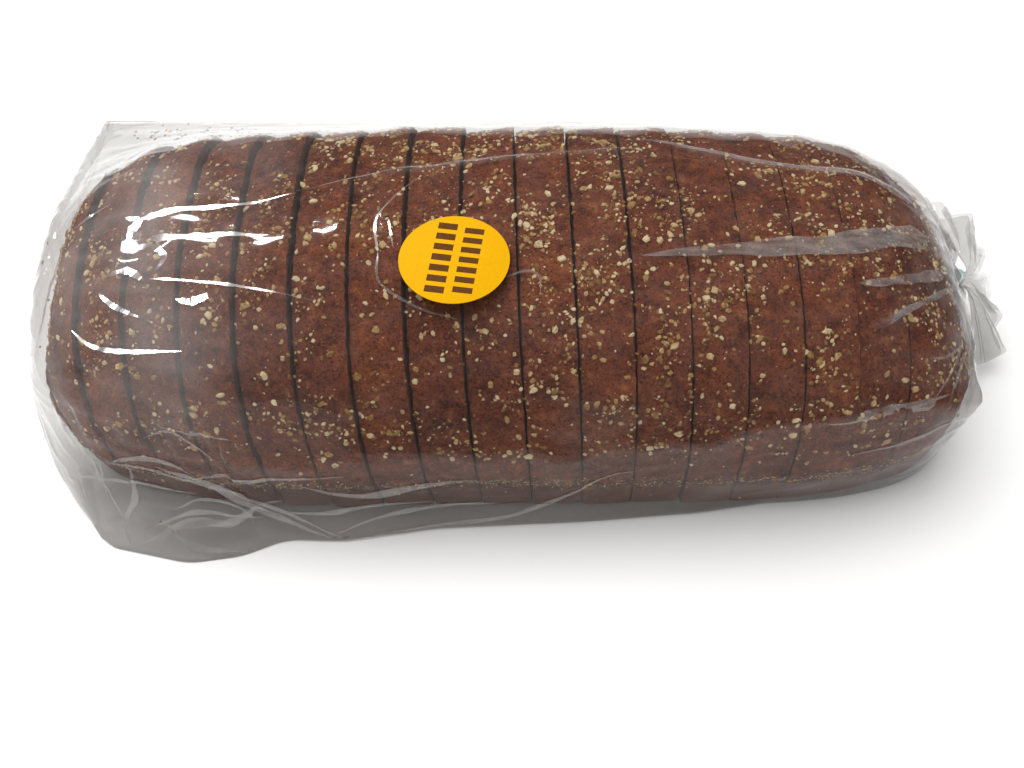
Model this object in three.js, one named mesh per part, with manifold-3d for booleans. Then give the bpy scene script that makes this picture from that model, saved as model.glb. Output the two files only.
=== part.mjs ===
// A sliced wholegrain pan loaf, shut in a clear polythene bread bag and lying on its base.
// X runs along the loaf from the bag's sealed end to its gathered neck, Y from front to back, Z up.
// The origin is the middle of the flat underside. Sizes are in millimetres.
import * as THREE from "three";
import { mergeVertices } from "three/addons/utils/BufferGeometryUtils.js";
import Module from "manifold-3d";

const wasm = await Module();
wasm.setup();

// The loaf: cut into slices that lean a little towards the sealed end.
const SLICE_COUNT = 17;
const SLICE_PITCH = 18;
const SEALED_HEEL_X = -161;
const TIED_HEEL_X = 166;
const LOAF_HEIGHT = 96.8;
const CROWN_HALF_WIDTH = 66.3;
const BASE_HALF_WIDTH = 61;
const CROWN_SPRING = 39; // height at which the crown is widest
const CROWN_SQUARENESS = 2.43; // exponent of the crown's superellipse
const CROWN_OUTLINE_POINTS = 24;
const SEALED_HEEL_PLAN = 4; // exponents of the taper towards the heels, in width
const TIED_HEEL_PLAN = 5;
const SEALED_HEEL_PROFILE = 5; // and in height
const TIED_HEEL_PROFILE = 4;
const SLICE_LEAN = -0.058; // X for each millimetre of height
const LEAN_PIVOT = 60;

// Steps and gaps between the slices, as the film over them shows them.
const GAP_WIDTH_LEFT = 3.2;
const GAP_WIDTH_RIGHT = 1.4;
const GAP_DEPTH_LEFT = 3;
const GAP_DEPTH_RIGHT = 1.3;
const STEP_LEFT = 2.4;
const STEP_RIGHT = 0.5;

// The torn line where the crust rose over the rim of the baking tin.
const SHRED_LOW = 27;
const SHRED_HIGH = 33;
const SHRED_DEPTH = 1.9;

// The film.
const FILM_STAND_OFF = 0.8;
const SEAM_THICKNESS = 1.4; // of the two films where they lie on each other
const SEALED_HEEL_STATIONS = [7, 12]; // film sections past the last gap, over each heel
const TIED_HEEL_STATIONS = [13, 20, 25];
const CREASE_STEPS = 3; // ring steps over which a crease stays free of the slices' relief
const SEAL_OVERHANG = 7; // how far the film runs on past its last section before it turns to the seal
const NECK_OVERHANG = 3; // and before it turns to the neck
const NECK_PULL = 0.3;

// Back crease of the bag: a free ridge from the back ear, then close along the loaf's shoulder.
const BACK_EAR = [-151, 79, 62];
const RIDGE_END_X = -30;
const SHOULDER_Y = 61;
const SHOULDER_Z = 75;

// Front crease of the bag, where it lies on the table: X and Y.
const FRONT_CREASE = [
  [-150, -63],
  [-138, -77],
  [-114, -82],
  [-88, -78],
  [-70, -72],
  [-50, -72],
  [-17, -66],
  [15, -61.5],
];

// The straight heat seal across the bag's end, bent round the heel from the back ear to the front ear.
const SEAL_LINE = [
  BACK_EAR,
  [-154, 48, 60],
  [-159, 18, 54],
  [-165, -10, 42],
  [-167, -28, 31],
  [-163, -44, 15],
  [-152, -60, 4],
  [-139, -75, 0.9],
];
const SEAL_FACE = [0.35, 0, 1];
const SEAL_RUFFLES = 2;
const SEAL_RUFFLE_HEIGHT = 0.6;

// The gathered neck and the tail that fans out of it.
const NECK = [170, 8, 46];
const NECK_AXIS = [0.97, 0.02, -0.24];
const NECK_RADIUS = 2.4;
const NECK_PLEAT_DEPTH = 0.3;
const NECK_LENGTH = 7;
const NECK_PLEATS = 9;
const NECK_TURN = THREE.MathUtils.degToRad(27);
const HEEL_PLEAT_DEPTH = 0.06; // share of the distance to the neck
const TAIL_RIM = [
  [169, 44, 42],
  [185, 45, 39],
  [191, 33, 31],
  [195, 17, 20],
  [198, 0, 10],
  [183, -9, 11],
];
const TAIL_FACE = [0.75, 0, 0.66];
const TAIL_RUFFLES = 4;
const TAIL_RUFFLE_HEIGHT = 2.2;

// The tape round the neck, its two ends stuck together as a tab.
const TAPE_CLEARANCE = 0.35;
const TAPE_THICKNESS = 0.6;
const TAPE_WIDTH = 4.5;
const TAB_LENGTH = 7;
const TAB_TURN = THREE.MathUtils.degToRad(200); // round the neck

// The round paper label on the film.
const LABEL_RADIUS = 17.5;
const LABEL_THICKNESS = 0.35;
const LABEL_CENTRE = [-12.8, -26, 97.8];
const LABEL_TILT = THREE.MathUtils.degToRad(2.5);
const LABEL_CLEARANCE = 0.3;
const PAD_RADIUS = 20; // the film lies flat under the label
const PAD_BLEND = 10; // and comes back to the crust over this width
const SEAT_CUT = 8; // height above the label's seat that is kept free

// Oat flakes that stand up under the film.
const FLAKE_COUNT = 105;
const FLAKE_RADIUS_MIN = 1.3;
const FLAKE_RADIUS_MAX = 2.1;
const FLAKE_HEIGHT = 0.9;
const FLAKE_SIDES = 6;
const FLAKE_SEED = 11;

// How finely the film's surface is divided.
const CROWN_STEPS = 19;
const UNDERSIDE_STEPS = 5;
const BACK_STEPS = 5;
const END_STEPS = 6;
const TAIL_STEPS = 4;

const SECTION_CENTRE = new THREE.Vector2(0, 40); // Y and Z

function seededRandom(seed) {
  let state = seed;
  return () => {
    state = (state + 0x6d2b79f5) | 0;
    let t = Math.imul(state ^ (state >>> 15), 1 | state);
    t = (t + Math.imul(t ^ (t >>> 7), 61 | t)) ^ t;
    return ((t ^ (t >>> 14)) >>> 0) / 4294967296;
  };
}

// Value at x of a smooth curve through [x, y] points.
function curveThrough(points) {
  return (x) => {
    const last = points.length - 1;
    if (x <= points[0][0]) return points[0][1];
    if (x >= points[last][0]) return points[last][1];
    const i = points.findIndex((p, n) => n < last && x < points[n + 1][0]);
    const t = (x - points[i][0]) / (points[i + 1][0] - points[i][0]);
    return THREE.MathUtils.lerp(points[i][1], points[i + 1][1], t * t * (3 - 2 * t));
  };
}

const frontCrease = curveThrough(FRONT_CREASE);
const firstGap = -((SLICE_COUNT - 2) / 2) * SLICE_PITCH;
const lastGap = -firstGap;

// Share of the full section that is left at x, down to almost nothing at the heels.
function taper(x, sealedExponent, tiedExponent) {
  const share = Math.min(x < 0 ? x / SEALED_HEEL_X : x / TIED_HEEL_X, 0.99);
  const exponent = x < 0 ? sealedExponent : tiedExponent;
  return Math.pow(1 - Math.pow(share, exponent), 1 / exponent);
}

const widthShare = (x) => taper(x, SEALED_HEEL_PLAN, TIED_HEEL_PLAN);
const heightShare = (x) => taper(x, SEALED_HEEL_PROFILE, TIED_HEEL_PROFILE);

// 0 at the sealed end of the loaf, 1 at the tied end.
function along(x) {
  return THREE.MathUtils.clamp((x - firstGap) / (lastGap - firstGap), 0, 1);
}

// Outline of the bare loaf at x, as points in Y and Z from the front base over the crown to the back base.
function loafSection(x) {
  const wide = widthShare(x);
  const high = heightShare(x);
  const side = [0, 0.35, 0.7].map((f) => {
    const y = BASE_HALF_WIDTH + (CROWN_HALF_WIDTH - BASE_HALF_WIDTH) * Math.sin((f * Math.PI) / 2);
    return [y * wide, CROWN_SPRING * f * high];
  });
  const power = 2 / CROWN_SQUARENESS;
  const crown = Array.from({ length: CROWN_OUTLINE_POINTS + 1 }, (_, i) => {
    const t = (Math.PI * i) / CROWN_OUTLINE_POINTS;
    const y = -CROWN_HALF_WIDTH * Math.sign(Math.cos(t)) * Math.pow(Math.abs(Math.cos(t)), power);
    const z = CROWN_SPRING + (LOAF_HEIGHT - CROWN_SPRING) * Math.pow(Math.sin(t), power);
    return [y * wide, z * high];
  });
  return [
    ...side.map(([y, z]) => new THREE.Vector2(-y, z)),
    ...crown.map(([y, z]) => new THREE.Vector2(y, z)),
    ...side.reverse().map(([y, z]) => new THREE.Vector2(y, z)),
  ];
}

function backCrease(x) {
  if (x > RIDGE_END_X) return new THREE.Vector2(SHOULDER_Y * widthShare(x), SHOULDER_Z * heightShare(x));
  const t = (RIDGE_END_X - x) / (RIDGE_END_X - BACK_EAR[0]);
  return new THREE.Vector2(
    THREE.MathUtils.lerp(SHOULDER_Y, BACK_EAR[1], t),
    THREE.MathUtils.lerp(SHOULDER_Z, BACK_EAR[2], t),
  );
}

// Convex outline of a set of points: the form that taut film takes over them.
function tautOutline(points) {
  const sorted = [...points].sort((a, b) => a.x - b.x || a.y - b.y);
  const turn = (o, a, b) => (a.x - o.x) * (b.y - o.y) - (a.y - o.y) * (b.x - o.x);
  const half = (list) => {
    const chain = [];
    for (const p of list) {
      while (chain.length > 1 && turn(chain.at(-2), chain.at(-1), p) <= 0) chain.pop();
      chain.push(p);
    }
    return chain.slice(0, -1);
  };
  return [...half(sorted), ...half(sorted.reverse())];
}

// Distance from the section's centre to a convex outline, in a direction.
function reach(outline, direction) {
  let best = Infinity;
  outline.forEach((a, i) => {
    const b = outline[(i + 1) % outline.length];
    const normal = new THREE.Vector2(b.y - a.y, a.x - b.x).normalize();
    const slope = normal.dot(direction);
    if (slope > 1e-6) best = Math.min(best, normal.dot(a.clone().sub(SECTION_CENTRE)) / slope);
  });
  return best;
}

// The wholegrain crust tears unevenly: a wave between -1 and 1 that never quite repeats.
function ragged(x) {
  return 0.6 * Math.sin(x * 0.31) + 0.4 * Math.sin(x * 0.83 + 1.3);
}

// The film lies flat under the label, and comes back to the crust around it.
function underLabel(point) {
  if (point.z < CROWN_SPRING) return point;
  const distance = Math.hypot(point.x - LABEL_CENTRE[0], point.y - LABEL_CENTRE[1]);
  const flat = 1 - THREE.MathUtils.smoothstep(distance, PAD_RADIUS, PAD_RADIUS + PAD_BLEND);
  const slope = (point.y - LABEL_CENTRE[1]) * Math.tan(LABEL_TILT);
  const seat = LABEL_CENTRE[2] - LABEL_THICKNESS / 2 - LABEL_CLEARANCE + slope;
  point.z = THREE.MathUtils.lerp(point.z, seat, flat);
  return point;
}

// One closed ring of the film at x: from the back crease over the crown to the front crease on the
// table, then under the loaf and up its back. rise lifts or sinks it, for the slices' steps and gaps.
function bodyRing(x, rise) {
  const baseY = BASE_HALF_WIDTH * widthShare(x);
  const sideY = CROWN_HALF_WIDTH * widthShare(x);
  const skirtY = x < FRONT_CREASE.at(-1)[0] ? frontCrease(x) : 0;
  const frontY = Math.min(skirtY, -baseY);
  const back = backCrease(x);
  const outline = tautOutline([...loafSection(x), back, new THREE.Vector2(frontY, 0)]);
  const angleTo = (y, z) => Math.atan2(z - SECTION_CENTRE.y, y - SECTION_CENTRE.x);
  const onFilm = (angle, outward) => {
    const direction = new THREE.Vector2(Math.cos(angle), Math.sin(angle));
    const point = direction.clone().multiplyScalar(reach(outline, direction) + outward).add(SECTION_CENTRE);
    const lean = SLICE_LEAN * (point.y - LEAN_PIVOT);
    return underLabel(new THREE.Vector3(x + lean, point.x, Math.max(point.y, 0)));
  };
  const creaseAngle = angleTo(back.x, back.y);
  const baseAngle = angleTo(baseY, 0);

  const crown = Array.from({ length: CROWN_STEPS + 1 }, (_, i) => {
    const angle = THREE.MathUtils.lerp(creaseAngle, Math.PI, i / CROWN_STEPS);
    const cling = Math.min(1, i / CREASE_STEPS, (CROWN_STEPS + 1 - i) / CREASE_STEPS);
    return onFilm(angle, FILM_STAND_OFF + rise * cling);
  });
  const torn = SHRED_DEPTH * (1 + ragged(x) / 2);
  const side = [
    [SHRED_HIGH + 2 * ragged(x * 1.7), 0],
    [SHRED_LOW, torn],
    [SHRED_LOW / 2, torn / 3],
  ].map(([z, inward]) => onFilm(angleTo(-sideY, z) + 2 * Math.PI, FILM_STAND_OFF - inward));
  const underside = Array.from({ length: UNDERSIDE_STEPS + 1 }, (_, i) => {
    const y = THREE.MathUtils.lerp(frontY, baseY, i / UNDERSIDE_STEPS);
    return new THREE.Vector3(x - SLICE_LEAN * LEAN_PIVOT, y, 0);
  });
  const behind = Array.from({ length: BACK_STEPS - 1 }, (_, i) => {
    const angle = THREE.MathUtils.lerp(baseAngle, creaseAngle, (i + 1) / BACK_STEPS);
    return onFilm(angle, FILM_STAND_OFF + rise / 2);
  });
  return [...crown, ...side, ...underside, ...behind];
}

const SIDE_STEPS = 4; // below the crown in front
const TOP_PANEL = CROWN_STEPS + SIDE_STEPS; // steps from the back crease to the front crease
const RING_SIZE = TOP_PANEL + UNDERSIDE_STEPS + BACK_STEPS;

// Place of ring point j along a seam that joins both panels: 0 at the back crease, 1 at the front.
function seamShare(j) {
  return j <= TOP_PANEL ? j / TOP_PANEL : (RING_SIZE - j) / (RING_SIZE - TOP_PANEL);
}

// A ring squeezed flat onto a seam: the two panels lie on each other, a thickness apart.
function seamRing(line, face, ruffles, ruffleHeight) {
  const curve = new THREE.CatmullRomCurve3(line.map((p) => new THREE.Vector3(...p)));
  const normal = new THREE.Vector3(...face).normalize();
  return Array.from({ length: RING_SIZE }, (_, j) => {
    const share = seamShare(j);
    const wave = Math.sin(share * Math.PI * 2 * ruffles) * ruffleHeight * Math.sin(share * Math.PI);
    const side = j === 0 || j === TOP_PANEL ? 0 : Math.sign(TOP_PANEL - j);
    return curve.getPointAt(share).addScaledVector(normal, (side * SEAM_THICKNESS) / 2 + wave);
  });
}

// Rings from one to another, each point on a curve that first heads for a point of its own.
function rampRings(from, to, count, heading) {
  return Array.from({ length: count }, (_, k) => {
    const t = (k + 1) / count;
    return from.map((p, j) => new THREE.QuadraticBezierCurve3(p, heading(p), to[j]).getPoint(t));
  });
}

const neckAxis = new THREE.Vector3(...NECK_AXIS).normalize();
const neckCentre = new THREE.Vector3(...NECK);

function neckRing(offset) {
  const centre = neckCentre.clone().addScaledVector(neckAxis, offset);
  const up = new THREE.Vector3(0, 0, 1).addScaledVector(neckAxis, -neckAxis.z).normalize();
  const across = new THREE.Vector3().crossVectors(up, neckAxis);
  return Array.from({ length: RING_SIZE }, (_, j) => {
    const turn = (j / RING_SIZE) * 2 * Math.PI + NECK_TURN;
    const radius = NECK_RADIUS - (NECK_PLEAT_DEPTH * (1 - Math.cos(NECK_PLEATS * turn))) / 2;
    return centre
      .clone()
      .addScaledVector(across, Math.cos(turn) * radius)
      .addScaledVector(up, Math.sin(turn) * radius);
  });
}

// Each gap is a sunk ring between the raised right edge of one slice and the lower left edge of the next.
function bodyRings() {
  const rings = [...SEALED_HEEL_STATIONS].reverse().map((past) => bodyRing(firstGap - past, 0));
  for (let gap = 0; gap < SLICE_COUNT - 1; gap++) {
    const x = firstGap + gap * SLICE_PITCH;
    const place = Math.sqrt(along(x));
    const half = THREE.MathUtils.lerp(GAP_WIDTH_LEFT, GAP_WIDTH_RIGHT, place) / 2;
    const depth = THREE.MathUtils.lerp(GAP_DEPTH_LEFT, GAP_DEPTH_RIGHT, place);
    const step = THREE.MathUtils.lerp(STEP_LEFT, STEP_RIGHT, place) / 2;
    rings.push(bodyRing(x - half, step));
    rings.push(bodyRing(x, -depth));
    rings.push(bodyRing(x + half, -step));
    if (gap < SLICE_COUNT - 2) rings.push(bodyRing(x + SLICE_PITCH / 2, 0));
  }
  rings.push(...TIED_HEEL_STATIONS.map((past) => bodyRing(lastGap + past, 0)));
  return rings;
}

// The film over the tied heel, drawn together into pleats that run to the neck. It stays plain at the
// base, where the loaf's weight holds it.
function gatherRings(from) {
  const heading = (p) =>
    new THREE.Vector3(p.x + NECK_OVERHANG, p.y, p.z).lerp(neckCentre, NECK_PULL);
  const rings = rampRings(from, neckRing(-NECK_LENGTH / 2), END_STEPS, heading);
  rings.slice(0, -1).forEach((ring) => {
    ring.forEach((p, j) => {
      const wave = Math.cos((NECK_PLEATS * 2 * Math.PI * j) / RING_SIZE);
      const clear = THREE.MathUtils.smoothstep(p.z, 0, CROWN_SPRING / 2);
      p.x += wave * clear * HEEL_PLEAT_DEPTH * Math.hypot(p.y - NECK[1], p.z - NECK[2]);
    });
  });
  return rings;
}

function filmRings() {
  const body = bodyRings();
  const seal = seamRing(SEAL_LINE, SEAL_FACE, SEAL_RUFFLES, SEAL_RUFFLE_HEIGHT);
  const sealHeading = (p) => new THREE.Vector3(p.x - SEAL_OVERHANG, p.y, p.z);
  const sealed = rampRings(body[0], seal, END_STEPS, sealHeading).reverse();
  const neckEnd = neckRing(NECK_LENGTH / 2);
  const rim = seamRing(TAIL_RIM, TAIL_FACE, TAIL_RUFFLES, TAIL_RUFFLE_HEIGHT);
  const tailHeading = (p) => p.clone().addScaledVector(neckAxis, NECK_LENGTH);
  const tail = rampRings(neckEnd, rim, TAIL_STEPS, tailHeading);
  return [...sealed, ...body, ...gatherRings(body.at(-1)), neckEnd, ...tail];
}

// Triangles that close a flattened ring: a zip between its upper and its lower panel.
function sealTriangles(firstIndex, facesBack) {
  const upper = Array.from({ length: TOP_PANEL + 1 }, (_, j) => j);
  const lower = Array.from({ length: RING_SIZE - TOP_PANEL + 1 }, (_, j) => (RING_SIZE - j) % RING_SIZE);
  const triangles = [];
  let a = 0;
  let b = 0;
  while (a < upper.length - 1 || b < lower.length - 1) {
    const nextUpper = a < upper.length - 1 ? (a + 1) / (upper.length - 1) : Infinity;
    const nextLower = b < lower.length - 1 ? (b + 1) / (lower.length - 1) : Infinity;
    const corner = nextUpper <= nextLower ? upper[a + 1] : lower[b + 1];
    const triangle = [upper[a], lower[b], corner];
    if (nextUpper <= nextLower) a++;
    else b++;
    if (new Set(triangle).size === 3) triangles.push(facesBack ? triangle : triangle.reverse());
  }
  return triangles.map((t) => t.map((j) => firstIndex + j));
}

function loft(rings) {
  const positions = rings.flat().flatMap((p) => [p.x, p.y, p.z]);
  const index = [];
  for (let s = 0; s < rings.length - 1; s++) {
    for (let j = 0; j < RING_SIZE; j++) {
      const a = s * RING_SIZE + j;
      const b = s * RING_SIZE + ((j + 1) % RING_SIZE);
      index.push(a, b, b + RING_SIZE, a, b + RING_SIZE, a + RING_SIZE);
    }
  }
  index.push(...sealTriangles(0, true).flat());
  index.push(...sealTriangles((rings.length - 1) * RING_SIZE, false).flat());
  return new THREE.BufferGeometry()
    .setAttribute("position", new THREE.Float32BufferAttribute(positions, 3))
    .setIndex(index);
}

// A three.js geometry as a solid that can be joined and cut.
function toSolid(geometry) {
  const bare = geometry.clone();
  bare.deleteAttribute("normal");
  bare.deleteAttribute("uv");
  const merged = mergeVertices(bare, 1e-4);
  return new wasm.Manifold(
    new wasm.Mesh({
      numProp: 3,
      vertProperties: merged.attributes.position.array,
      triVerts: new Uint32Array(merged.index.array),
    }),
  );
}

function toGeometry(solid) {
  const mesh = solid.getMesh();
  return new THREE.BufferGeometry()
    .setAttribute("position", new THREE.BufferAttribute(new Float32Array(mesh.vertProperties), 3))
    .setIndex(new THREE.BufferAttribute(new Uint32Array(mesh.triVerts), 1));
}

// A flake: a low six-sided chip, half sunk in the facet that it lies on.
function flake(point, normal, radius, spin) {
  const chip = new THREE.CylinderGeometry(radius * 0.7, radius, FLAKE_HEIGHT * 2, FLAKE_SIDES);
  chip.rotateY(spin * Math.PI * 2);
  chip.scale(1, 1, 0.75 + spin / 4);
  chip.applyQuaternion(new THREE.Quaternion().setFromUnitVectors(new THREE.Vector3(0, 1, 0), normal));
  chip.translate(point.x, point.y, point.z);
  return toSolid(chip);
}

// Flakes on the crown, each on the broad facet of a slice and clear of the label.
function flakes(rings) {
  const random = seededRandom(FLAKE_SEED);
  const between = (low, high) => low + random() * (high - low);
  const chips = [];
  while (chips.length < FLAKE_COUNT) {
    const s = Math.floor(between(END_STEPS, rings.length - END_STEPS - TAIL_STEPS - 1));
    const j = Math.floor(between(2, CROWN_STEPS - 1));
    const [a, b] = [rings[s][j], rings[s][j + 1]];
    const [c, d] = [rings[s + 1][j], rings[s + 1][j + 1]];
    const across = random();
    const point = a.clone().lerp(b, across).lerp(c.clone().lerp(d, across), between(0.25, 0.75));
    const normal = b.clone().sub(a).cross(c.clone().sub(a)).normalize();
    const radius = between(FLAKE_RADIUS_MIN, FLAKE_RADIUS_MAX);
    const spin = random();
    const broad = c.x - a.x > SLICE_PITCH / 3;
    const labelDistance = Math.hypot(point.x - LABEL_CENTRE[0], point.y - LABEL_CENTRE[1]);
    if (!broad || labelDistance < PAD_RADIUS + FLAKE_RADIUS_MAX * 2) continue;
    chips.push(flake(point, normal, radius, spin));
  }
  return chips;
}

function labelDisc(radius, thickness, lift) {
  const disc = new THREE.CylinderGeometry(radius, radius, thickness, 48);
  disc.rotateX(Math.PI / 2 + LABEL_TILT);
  disc.translate(LABEL_CENTRE[0], LABEL_CENTRE[1], LABEL_CENTRE[2] + lift);
  return disc;
}

function breadBag() {
  const rings = filmRings();
  const seatLift = SEAT_CUT / 2 - LABEL_THICKNESS / 2 - LABEL_CLEARANCE;
  const aboveSeat = toSolid(labelDisc(PAD_RADIUS, SEAT_CUT, seatLift));
  const film = toSolid(loft(rings)).subtract(aboveSeat);
  return toGeometry(flakes(rings).reduce((whole, chip) => whole.add(chip), film));
}

function neckTape() {
  const inner = NECK_RADIUS + TAPE_CLEARANCE;
  const outer = inner + TAPE_THICKNESS;
  const half = TAPE_WIDTH / 2;
  const profile = [
    new THREE.Vector2(inner, -half),
    new THREE.Vector2(outer, -half),
    new THREE.Vector2(outer, half),
    new THREE.Vector2(inner, half),
    new THREE.Vector2(inner, -half),
  ];
  const band = toSolid(new THREE.LatheGeometry(profile, 32));
  const tab = new THREE.BoxGeometry(TAB_LENGTH, TAPE_WIDTH, TAPE_THICKNESS);
  tab.translate(outer + TAB_LENGTH / 2 - TAPE_THICKNESS / 2, 0, 0);
  return toGeometry(band.add(toSolid(tab)));
}

const bagMesh = new THREE.Mesh(
  breadBag(),
  new THREE.MeshStandardMaterial({ color: 0x6b4030, roughness: 0.35, metalness: 0 }),
);
bagMesh.name = "bread_bag";

const tapeMesh = new THREE.Mesh(
  neckTape(),
  new THREE.MeshStandardMaterial({ color: 0xb9cfcb, roughness: 0.2, metalness: 0 }),
);
tapeMesh.name = "neck_tape";
tapeMesh.position.copy(neckCentre);
tapeMesh.quaternion.setFromUnitVectors(new THREE.Vector3(0, 1, 0), neckAxis);
tapeMesh.rotateY(TAB_TURN);

const labelMesh = new THREE.Mesh(
  labelDisc(LABEL_RADIUS, LABEL_THICKNESS, 0),
  new THREE.MeshStandardMaterial({ color: 0xffc20e, roughness: 0.5, metalness: 0 }),
);
labelMesh.name = "round_label";

const group = new THREE.Group();
group.add(bagMesh, tapeMesh, labelMesh);

export default group;
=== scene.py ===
# A sliced wholegrain pan loaf in a clear bread bag, in the order in which a bakery puts it together:
# the loaf is baked whole and cut, its oat flakes lie on the crust, and the bag is closed over it.
import math
import random

import bpy
import numpy as np
from mathutils import Matrix, Vector, noise
from mathutils.bvhtree import BVHTree


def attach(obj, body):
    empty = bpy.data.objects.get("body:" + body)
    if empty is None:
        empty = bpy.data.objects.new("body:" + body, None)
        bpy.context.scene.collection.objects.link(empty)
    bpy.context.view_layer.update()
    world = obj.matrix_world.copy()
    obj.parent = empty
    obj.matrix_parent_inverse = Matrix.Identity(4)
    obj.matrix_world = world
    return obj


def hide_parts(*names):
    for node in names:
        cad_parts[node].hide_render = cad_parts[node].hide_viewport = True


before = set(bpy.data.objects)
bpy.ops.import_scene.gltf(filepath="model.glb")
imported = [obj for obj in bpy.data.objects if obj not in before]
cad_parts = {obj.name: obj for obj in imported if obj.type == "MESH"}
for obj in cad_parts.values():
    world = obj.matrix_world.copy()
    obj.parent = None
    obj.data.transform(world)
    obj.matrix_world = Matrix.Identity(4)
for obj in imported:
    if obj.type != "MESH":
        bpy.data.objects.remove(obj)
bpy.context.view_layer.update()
mm = 0.001


# The camera stands in front of the loaf and well above it, and looks down at it by 55 degrees,
# a little from the left of the middle, as in the photograph.
CAMERA_PLACE = Vector((1.5, -256.1, 357.7)) * mm
CAMERA_RIGHT = Vector((0.9999, -0.0160, 0.0006))
CAMERA_UP = Vector((0.0127, 0.8191, 0.5736))
CAMERA_AHEAD = Vector((0.0097, 0.5735, -0.8192))
SENSOR_WIDTH = 36
FOCAL_LENGTH = 38.67

bpy.ops.object.select_all(action="DESELECT")
bpy.ops.object.camera_add()
camera = bpy.context.object
camera.data.sensor_width = SENSOR_WIDTH
camera.data.lens = FOCAL_LENGTH
camera.matrix_world = Matrix.Translation(CAMERA_PLACE) @ Matrix(
    (CAMERA_RIGHT, CAMERA_UP, -CAMERA_AHEAD)
).transposed().to_4x4()
bpy.context.scene.camera = camera
bpy.context.scene.view_settings.view_transform = "Standard"


# The studio: a white table that runs out of the picture, a wide softbox overhead that lights the
# loaf, a window behind it on the left that is mirrored but lights nothing, and a pale room.
FLOOR_SIZE = 5
FLOOR_DROP = 0.2 * mm  # keeps the table clear of the film that lies on it
SOFTBOX_PLACE = Vector((-0.30, 0.14, 1.30))
SOFTBOX_SIZE = (1.1, 1.1)
SOFTBOX_POWER = 19.5
WINDOW_AIM = Vector((-105, 0, 92)) * mm
WINDOW_PLACE = WINDOW_AIM + Vector((-0.41, 0.525, 0.745)) * 1.5
WINDOW_SIZE = (0.66, 0.14)
WINDOW_SPIN = math.radians(-28)
WINDOW_POWER = 20
ROOM_LIGHT = 0.62
ROOM_MIRRORED = 0.12
ROOM_SEEN = 0.98


def colour(hex_code):
    """An sRGB hex value as a linear colour."""
    parts = [int(hex_code[i : i + 2], 16) / 255 for i in (1, 3, 5)]
    linear = [p / 12.92 if p <= 0.04045 else ((p + 0.055) / 1.055) ** 2.4 for p in parts]
    return (*linear, 1)


def new_material(name):
    made = bpy.data.materials.new(name)
    made.use_nodes = True
    made.node_tree.nodes.clear()
    return made


def node(made, kind, inputs=None, stops=None, **settings):
    """Adds a shader node. inputs maps its sockets to numbers, to hex colours, or to the nodes or
    sockets that feed them, and stops are a colour ramp's places and hex colours."""
    tree = made.node_tree
    added = tree.nodes.new("ShaderNode" + kind)
    for setting, value in settings.items():
        setattr(added, setting, value)
    for socket, value in (inputs or {}).items():
        if isinstance(value, bpy.types.Node):
            value = value.outputs[0]
        if isinstance(value, bpy.types.NodeSocket):
            tree.links.new(value, added.inputs[socket])
        else:
            value = colour(value) if isinstance(value, str) else value
            added.inputs[socket].default_value = value
    for i, (place, tint) in enumerate(stops or []):
        stop = added.color_ramp.elements[i] if i < 2 else added.color_ramp.elements.new(place)
        stop.position = place
        stop.color = colour(tint)
    return added


def area_light(place, aim, size, power, spin=0):
    """A rectangular light that shines towards its aim."""
    bpy.ops.object.light_add(type="AREA", location=place)
    light = bpy.context.object
    light.data.shape = "RECTANGLE"
    light.data.size, light.data.size_y = size
    light.data.energy = power
    facing = (aim - place).to_track_quat("-Z", "Y").to_matrix()
    light.rotation_euler = (facing @ Matrix.Rotation(spin, 3, "Z")).to_euler()
    return light


bpy.ops.mesh.primitive_plane_add(size=FLOOR_SIZE, location=(0, 0, -FLOOR_DROP))
floor = bpy.context.object
floor.name = "table"
white_laminate = new_material("white_laminate")
laminate = node(white_laminate, "BsdfPrincipled", {"Base Color": "#f3f3f2", "Roughness": 0.6})
node(white_laminate, "OutputMaterial", {"Surface": laminate})
floor.data.materials.append(white_laminate)

softbox = area_light(SOFTBOX_PLACE, Vector(), SOFTBOX_SIZE, SOFTBOX_POWER)
softbox.visible_glossy = False
window = area_light(WINDOW_PLACE, WINDOW_AIM, WINDOW_SIZE, WINDOW_POWER, WINDOW_SPIN)
window.visible_diffuse = False

room = bpy.data.worlds.new("room")
bpy.context.scene.world = room
room.use_nodes = True
room.node_tree.nodes.clear()
ray = node(room, "LightPath")
for_gloss = node(room, "Mix", {0: ray.outputs["Is Glossy Ray"], 2: ROOM_LIGHT, 3: ROOM_MIRRORED})
for_eye = node(room, "Mix", {0: ray.outputs["Is Camera Ray"], 2: for_gloss, 3: ROOM_SEEN})
room_glow = node(room, "Background", {"Color": "#f8f8f8", "Strength": for_eye})
node(room, "OutputWorld", {"Surface": room_glow})


# The loaf: dark wholegrain dough baked in an open tin, with smooth sides where the tin held it, a
# torn line where it rose over the rim, and a domed crown. It is baked whole before it is cut.
SLICE_COUNT = 17
SLICE_PITCH = 18 * mm
SEALED_HEEL_X = -161 * mm
TIED_HEEL_X = 166 * mm
LOAF_HEIGHT = 96.8 * mm
CROWN_HALF_WIDTH = 66.3 * mm
BASE_HALF_WIDTH = 61 * mm
CROWN_SPRING = 39 * mm  # height at which the crown is widest
CROWN_SQUARENESS = 2.43
BASE_CORNER = 4 * mm
HEEL_CENTRE_Z = 40 * mm
PLAN_SQUARENESS = (4, 5)  # of the sealed and the tied heel
PROFILE_SQUARENESS = (3.8, 3.0)
FOOT_SQUARENESS = 8
HEEL_SLOPE = (0.045, 0.035)  # share by which the heels stand back above their middle
SLOPE_SPAN = (0.72, 0.95)  # shares of the way to a heel, between which that slope sets in
SLOPE_RISE = 28 * mm
BODY_STEPS = 0.78  # share of the steps on the loaf's length, the rest closing its heels
BODY_REACH = 0.9
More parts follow.
